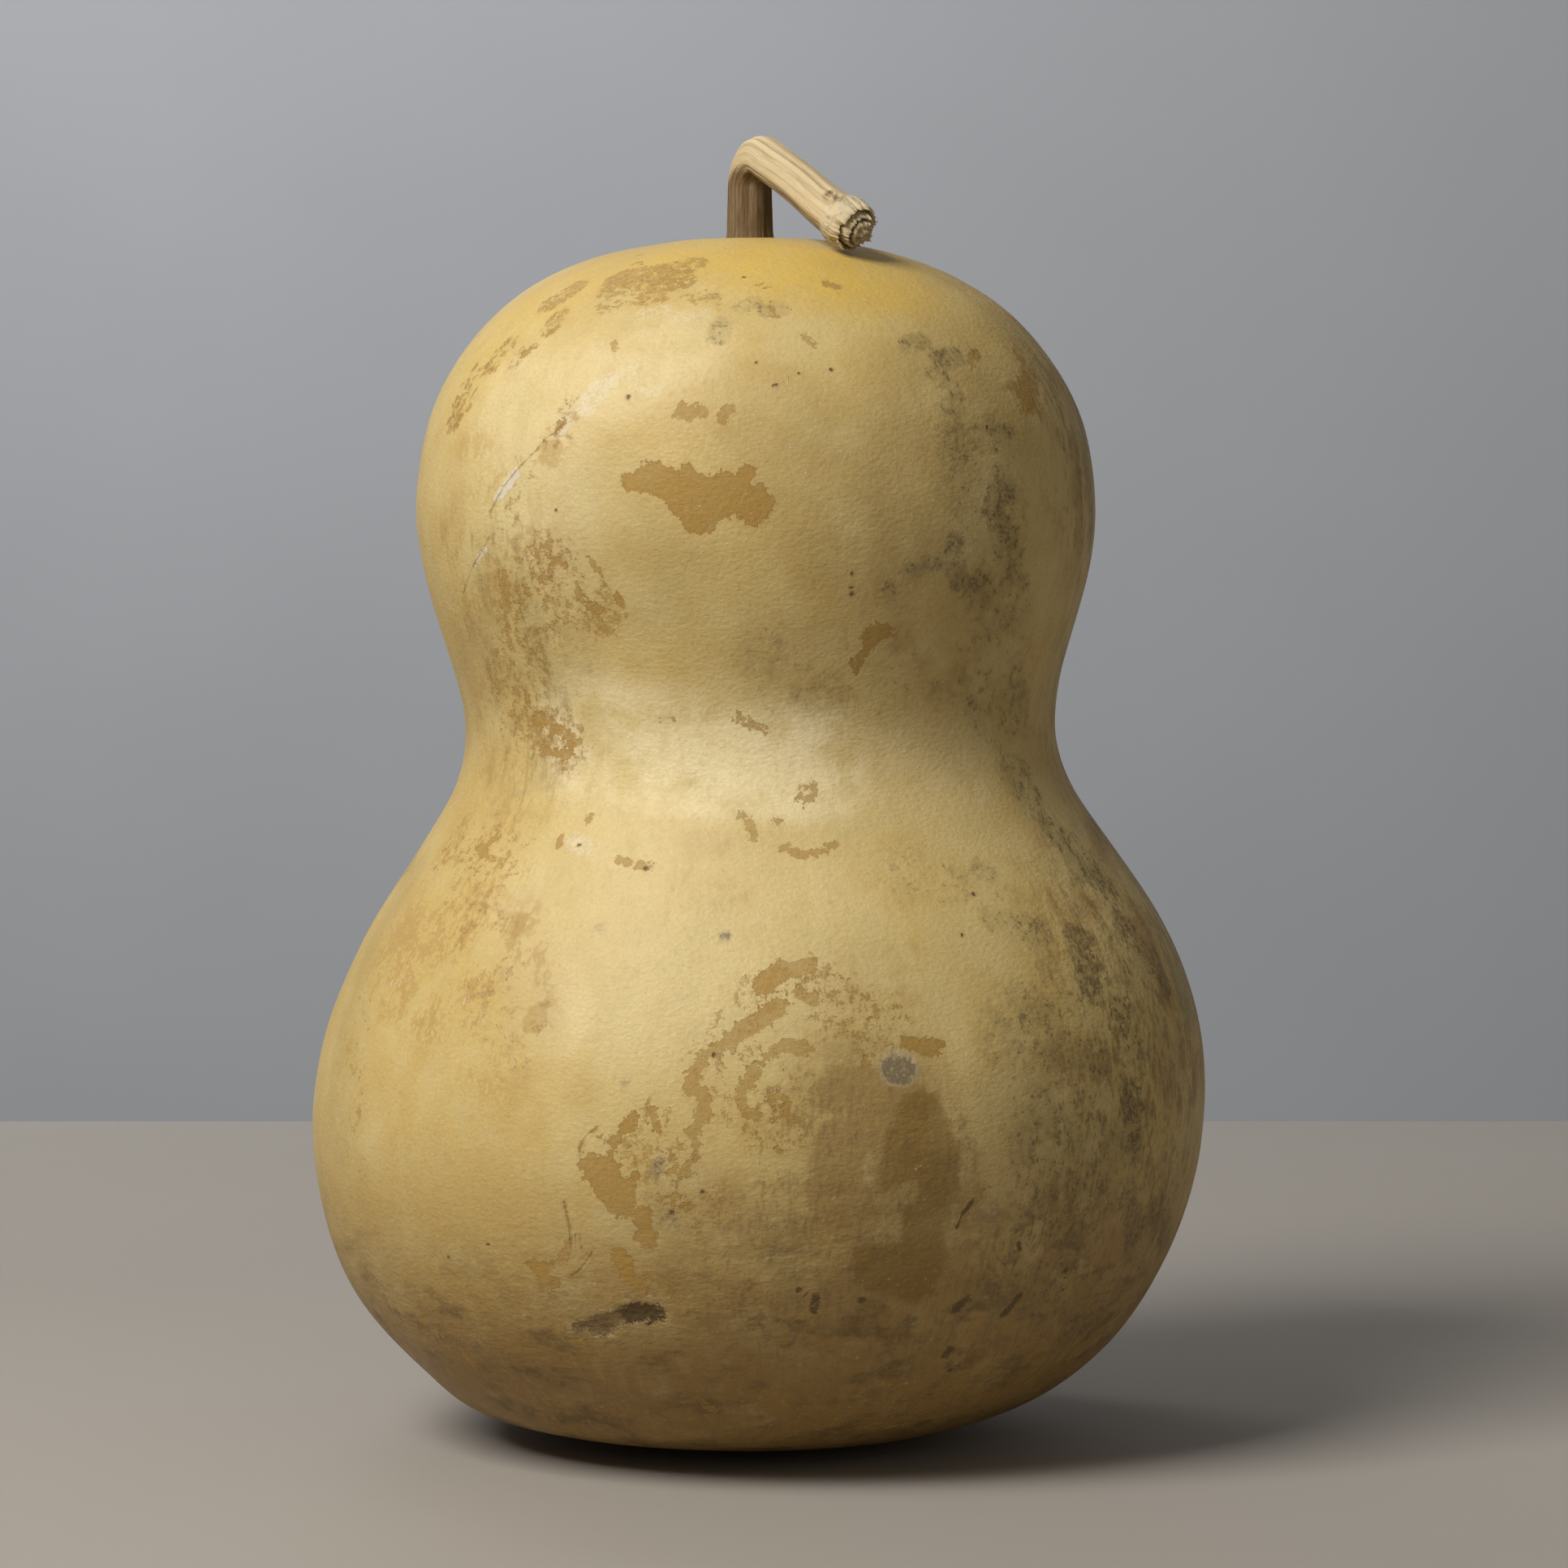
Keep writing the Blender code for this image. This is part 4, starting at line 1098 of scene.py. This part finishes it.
tear_draw = np.random.default_rng(TEAR_SEED)
rag = np.zeros_like(groove)
for wave in range(1, TEAR_WAVES + 1):
    phase = tear_draw.uniform(0.0, 2.0 * math.pi, 3)
    layer = np.where(radius > OUTER_LAYER_R, phase[0], np.where(radius > MIDDLE_LAYER_R, phase[1], phase[2]))
    rag += np.sin(wave * angle + layer) / math.sqrt(wave)
rag = rag / rag.std()
lift = TEAR_DEPTH * rag * smooth_step(past, TEAR_FROM, TEAR_FULL) * np.clip(radius / 3.0, 0.15, 1.0)
wrinkle = np.sin(past * 5.4 + 1.6 * np.sin(3.0 * angle + 1.0) + 0.8 * rag) * (radius > 5.2)
wrinkle = wrinkle * smooth_step(past, 1.2, 2.6)
knot_round = (angle - math.radians(KNOT_ANGLE)) * NODE_R
knot_gap = np.hypot(knot_round, np.abs(travel - distance[-1]) - KNOT_ADVANCE)
knot = 0.42 * np.exp(-(((knot_gap - KNOT_R) / 0.45) ** 2)) - 0.35 * np.exp(-((knot_gap / 0.8) ** 2))
print("the rims are torn by up to", round(float(np.abs(lift).max()), 2), "mm")

# %% Mesh of the stalk
RAG_DEPTH, WRINKLE_DEPTH = 0.10, 0.10  # mm
# the dark gaps between the layers, partly their own dark colour and partly painted shade: strength, radius,
# and how far on either side it reaches and stays full
GAP_SHADES = ((1.0, 4.3, 0.45, 0.15), (0.6, 2.8, 0.28, 0.08), (0.5, 1.45, 0.28, 0.08))

ridges = radius * (1.0 - groove - fibre) + knot + RAG_DEPTH * rag * smooth_step(past, 1.5, 5.0)
ridges = ridges + WRINKLE_DEPTH * wrinkle
reach_in = (ridges * np.cos(angle))[:, :, None] * inward[:, None, :]
reach_across = (ridges * np.sin(angle))[:, :, None] * across[:, None, :]
stalk_rings = STALK_FOOT + middle[:, None, :] + reach_in + reach_across + lift[:, :, None] * along[:, None, :]
stalk_rings = stalk_rings - FOOT_SINK * upward * (1.0 - smooth_step(travel, 0.0, FOOT_LENGTH))[:, :, None]
stalk = closed_tube("stalk", stalk_rings)

gap_shade = sum(
    strength * smooth_step(-np.abs(radius - place), -reach, -full) for strength, place, reach, full in GAP_SHADES
)
stalk_marks = {
    # painted shade: the bark darkens with the depth of the grooves and of the wrinkle valleys
    "groove": groove + 0.03 * np.clip(-wrinkle, 0.0, 1.0),
    "fibre": fibre,
    # painted shade: the inside of the bend, and the foot that the overhang shades
    "shaded_inside": np.cos(angle) + 0.90 * (1.0 - smooth_step(travel, 12.0, 23.0)),
    "torn": smooth_step(past, 0.2, 3.0),
    # the gaps between the torn layers: partly their own dark colour, partly painted shade
    "gap_shade": np.clip(gap_shade, 0.0, 1.0) * smooth_step(past, 4.9, 5.0),
    "knot": np.exp(-(((knot_gap - 0.9) / 0.75) ** 2)),
}
for name, values in stalk_marks.items():
    keep_on(stalk, name, np.broadcast_to(values, groove.shape).ravel())
keep_on(stalk, "bark_map", round_map(angle, travel / 10.0))
print("stalk:", len(stalk.data.vertices), "points")

# %% [markdown]
# # Loose fibres
# A few stiff fibres stand out of the torn rims. Each is a thin cone with five sides, so together they
# weigh little. They start inside the rim, and lean outwards by a random amount.

# %% Fibres at the torn rims
LOOSE_SEED = 31
LOOSE_COUNT = 46
LOOSE_SIDES = 5
LOOSE_R = 0.16
LOOSE_ROOT = 6.2  # mm past the end of the middle line
OUTER_RIM_R, INNER_RIM_R, OUTER_SHARE = 4.95, 3.4, 0.55
LOOSE_RINGS = ((0.0, 1.0), (0.6, 0.8), (1.0, 0.35))  # share of the length, and share of the radius
LOOSE_TIP = 1.12

loose_draw = np.random.default_rng(LOOSE_SEED)
root_radius = np.where(loose_draw.uniform(size=LOOSE_COUNT) < OUTER_SHARE, OUTER_RIM_R, INNER_RIM_R)
root_angle = loose_draw.uniform(0.0, 2.0 * math.pi, LOOSE_COUNT)
loose_length = loose_draw.uniform(0.5, 1.5, LOOSE_COUNT)
heading = np.column_stack([loose_draw.normal(0.0, 0.35, (LOOSE_COUNT, 2)), np.ones(LOOSE_COUNT)])
heading = heading * loose_length[:, None]
roots = np.column_stack([np.cos(root_angle), np.sin(root_angle), np.zeros(LOOSE_COUNT)])
roots = roots * root_radius[:, None] + (0.0, 0.0, LOOSE_ROOT)
turns = np.linspace(0.0, 2.0 * math.pi, LOOSE_SIDES, endpoint=False)
ring = np.column_stack([np.cos(turns), np.sin(turns), np.zeros(LOOSE_SIDES)]) * LOOSE_R
cone = [roots[:, None] + heading[:, None] * share + ring * size for share, size in LOOSE_RINGS]
body = np.concatenate([*cone, roots[:, None], (roots + heading * LOOSE_TIP)[:, None]], axis=1)
body = STALK_FOOT + middle[len(distance) - 1] + body @ np.stack([inward[-1], across[-1], along[-1]])
offsets = (np.arange(LOOSE_COUNT) * body.shape[1])[:, None, None]
quads, caps = tube_faces(len(LOOSE_RINGS), LOOSE_SIDES)
faces = (quads + offsets).reshape(-1, 4).tolist() + (caps + offsets).reshape(-1, 3).tolist()
torn_fibres = new_object("torn_fibres", body.reshape(-1, 3) * MM, faces, smooth=False)
print("torn fibres:", len(faces), "faces")

# %% [markdown]
# # The finish of the stalk
# Weathered stalk is pale straw on its ribs and brown in its grooves, and brown all over on the inside of the
# bend and at its foot; the brown in the grooves, in the wrinkle valleys and on the inside of the bend is
# painted shade. The torn end is pale, and almost black between its layers, partly its own dark colour and
# partly painted shade.

# %% Stalk material
STRAW_PALE = (0.66, 0.53, 0.32, 1.0)
STRAW_DEEP = (0.50, 0.36, 0.17, 1.0)
# Used for painted shade in the grooves and inside the bend, and for real brown spots and scars.
BARK_BROWN_AND_SHADE = (0.122, 0.069, 0.025, 1.0)
TORN_PALE = (0.60, 0.515, 0.340, 1.0)
GAP_DARK_AND_SHADE = (0.045, 0.032, 0.018, 1.0)

bark = Finish("stalk_bark")
bark_place = bark.place((1.0, 1.0, 0.12), bark.stored("bark_map", out=1))
long_fibres = bark.noise(bark_place, 9.0, 4.0, 0.65)
thin_fibres = bark.noise(bark_place, 28.0, 3.0, 0.6)
bark_spot = bark.noise(bark.place(), 900.0, 4.0, 0.65)
long_push = long_fibres - 0.5
torn_here = bark.stored("torn")
groove_shade = bark.stored("groove") * 7.0 + bark.stored("fibre") * 12.0
bark.colour = bark.mix(bark.step(long_fibres, 0.40, 0.72) * 0.45, STRAW_PALE, STRAW_DEEP)
# Painted shade: the grooves and the wrinkle valleys darken with their depth.
bark.lay(bark.clamped(groove_shade * bark.step(long_fibres, 0.2, 0.6)) * 0.62, BARK_BROWN_AND_SHADE)
# Painted shade: the inside of the bend and the foot of the stalk are laid over in brown.
inner_shade = bark.step(bark.stored("shaded_inside") + long_push * 0.9, 0.20, 0.80)
bark.lay(bark.clamped(inner_shade * (long_push * 0.9 + 0.90)), BARK_BROWN_AND_SHADE)
bark.lay(torn_here * bark.step(bark_spot, 0.30, 0.55) * 0.8, TORN_PALE)
bark.lay(torn_here * bark.step(bark_spot, 0.53, 0.64) * 0.35, BARK_BROWN_AND_SHADE)
# The gaps between the torn layers go almost black, partly their own dark colour and partly painted shade.
bark.lay(bark.step(bark.stored("gap_shade") + (bark_spot - 0.5) * 1.2, 0.25, 0.75) * 0.92, GAP_DARK_AND_SHADE)
bark.lay(bark.stored("knot") * bark.step(bark_spot, 0.35, 0.55) * 0.8, BARK_BROWN_AND_SHADE)
bark.tint((thin_fibres - 0.5) * 0.5 + 1.0)
bark_relief = long_fibres * 0.09 + thin_fibres * 0.06 + bark_spot * (torn_here * 0.22 + 0.03)
stalk.data.materials.append(bark.finish_with(long_push * 0.2 + 0.66, bark_relief))
bark.shader.inputs["Specular IOR Level"].default_value = 0.3

straw = Finish("torn_fibre_straw")
straw_noise = straw.noise(straw.place(), 1500.0, 2.0, 0.5)
straw.colour = straw.mix(straw_noise, STRAW_PALE, TORN_PALE)
torn_fibres.data.materials.append(straw.finish_with((straw_noise - 0.5) * 0.2 + 0.7, straw_noise * 0.05))
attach(stalk, "root")
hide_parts("stem")
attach(torn_fibres, "root")
print("stalk material:", len(bark.nodes), "nodes")

# %% [markdown]
# # Floor, backdrop and light
# A plain pale floor ends behind the gourd, and a cool grey backdrop stands well behind its edge, so nothing
# competes with the gourd and its back can be looked at too. One large soft lamp at the upper left gives the
# broad highlights and lets the right side fall dark. A weak, wide one on the right fills the shade a little,
# a third behind the gourd is turned to the backdrop, and the world adds a little light from everywhere.

# %% Floor and backdrop
FLOOR_GREY = (0.385, 0.355, 0.32)
BACKDROP_GREY = (0.51, 0.535, 0.575)
HALF_WIDTH = 2.5
FLOOR_FRONT, FLOOR_BACK, FLOOR_Z = -2.2, 0.62, -0.0001
BACKDROP_Y = 1.8
BACKDROP_BOTTOM, BACKDROP_TOP = -0.6, 2.6


def plain_sheet(name, path, colour, rough):
    """A wide sheet along a path of (y, z) points in metres, with a matt finish that is a trace uneven."""
    made = Finish(name + "_finish")
    made.colour = colour
    made.tint((made.noise(made.place(), 6.0, 3.0, 0.5) - 0.5) * 0.10 + 1.0)
    made.plug(made.shader, "Base Color", made.colour)
    made.shader.inputs["Roughness"].default_value = rough
    rows = len(path)
    corners = [np.column_stack([np.full(rows, side * HALF_WIDTH), path]) for side in (-1.0, 1.0)]
    faces = [(i, rows + i, rows + i + 1, i + 1) for i in range(rows - 1)]
    sheet = new_object(name, np.vstack(corners), faces)
    sheet.data.materials.append(made.material)


plain_sheet("floor", ((FLOOR_FRONT, FLOOR_Z), (FLOOR_BACK, FLOOR_Z)), FLOOR_GREY, 0.7)
plain_sheet("backdrop", ((BACKDROP_Y, BACKDROP_BOTTOM), (BACKDROP_Y, BACKDROP_TOP)), BACKDROP_GREY, 0.9)
print("floor ends at y =", FLOOR_BACK, "and the backdrop stands at y =", BACKDROP_Y)

# %% Lamps
GOURD_MIDDLE = (0.0, 0.0, 0.15)
WALL_LIT = (-0.1, BACKDROP_Y, 0.35)
LAMPS = (  # name, place, what it is aimed at, size, power and colour
    ("key", (-0.78, -0.76, 1.18), GOURD_MIDDLE, 0.72, 24.0, (1.0, 0.97, 0.92)),
    ("fill", (1.1, -1.5, 0.6), GOURD_MIDDLE, 1.2, 2.3, (1.0, 0.93, 0.82)),
    ("wall", (-0.55, 0.95, 1.25), WALL_LIT, 0.9, 9.0, (0.97, 0.98, 1.0)),
)
WORLD_GREY = (1.0, 0.93, 0.84, 1.0)
WORLD_STRENGTH = 0.11

for name, place, target, size, power, tone in LAMPS:
    lamp_data = bpy.data.lights.new(name, "AREA")
    lamp_data.size = size
    lamp_data.energy = power
    lamp_data.color = tone
    lamp = bpy.data.objects.new(name, lamp_data)
    lamp.location = place
    back = np.array(place) - target
    yaw = math.atan2(back[0], -back[1])
    lamp.rotation_euler = (math.acos(back[2] / np.linalg.norm(back)), 0.0, yaw)
    bpy.context.scene.collection.objects.link(lamp)
world = bpy.data.worlds.new("studio")
world.use_nodes = True
world.node_tree.nodes["Background"].inputs["Color"].default_value = WORLD_GREY
world.node_tree.nodes["Background"].inputs["Strength"].default_value = WORLD_STRENGTH
bpy.context.scene.world = world
bpy.context.scene.view_settings.view_transform = "Standard"
print("lamps:", [lamp[0] for lamp in LAMPS])

# %% [markdown]
# # Last step
# The new pieces have to fill the imported part's box and stay inside it. The scene is brought up to
# date.

# %% Bring the scene up to date
bpy.context.view_layer.update()
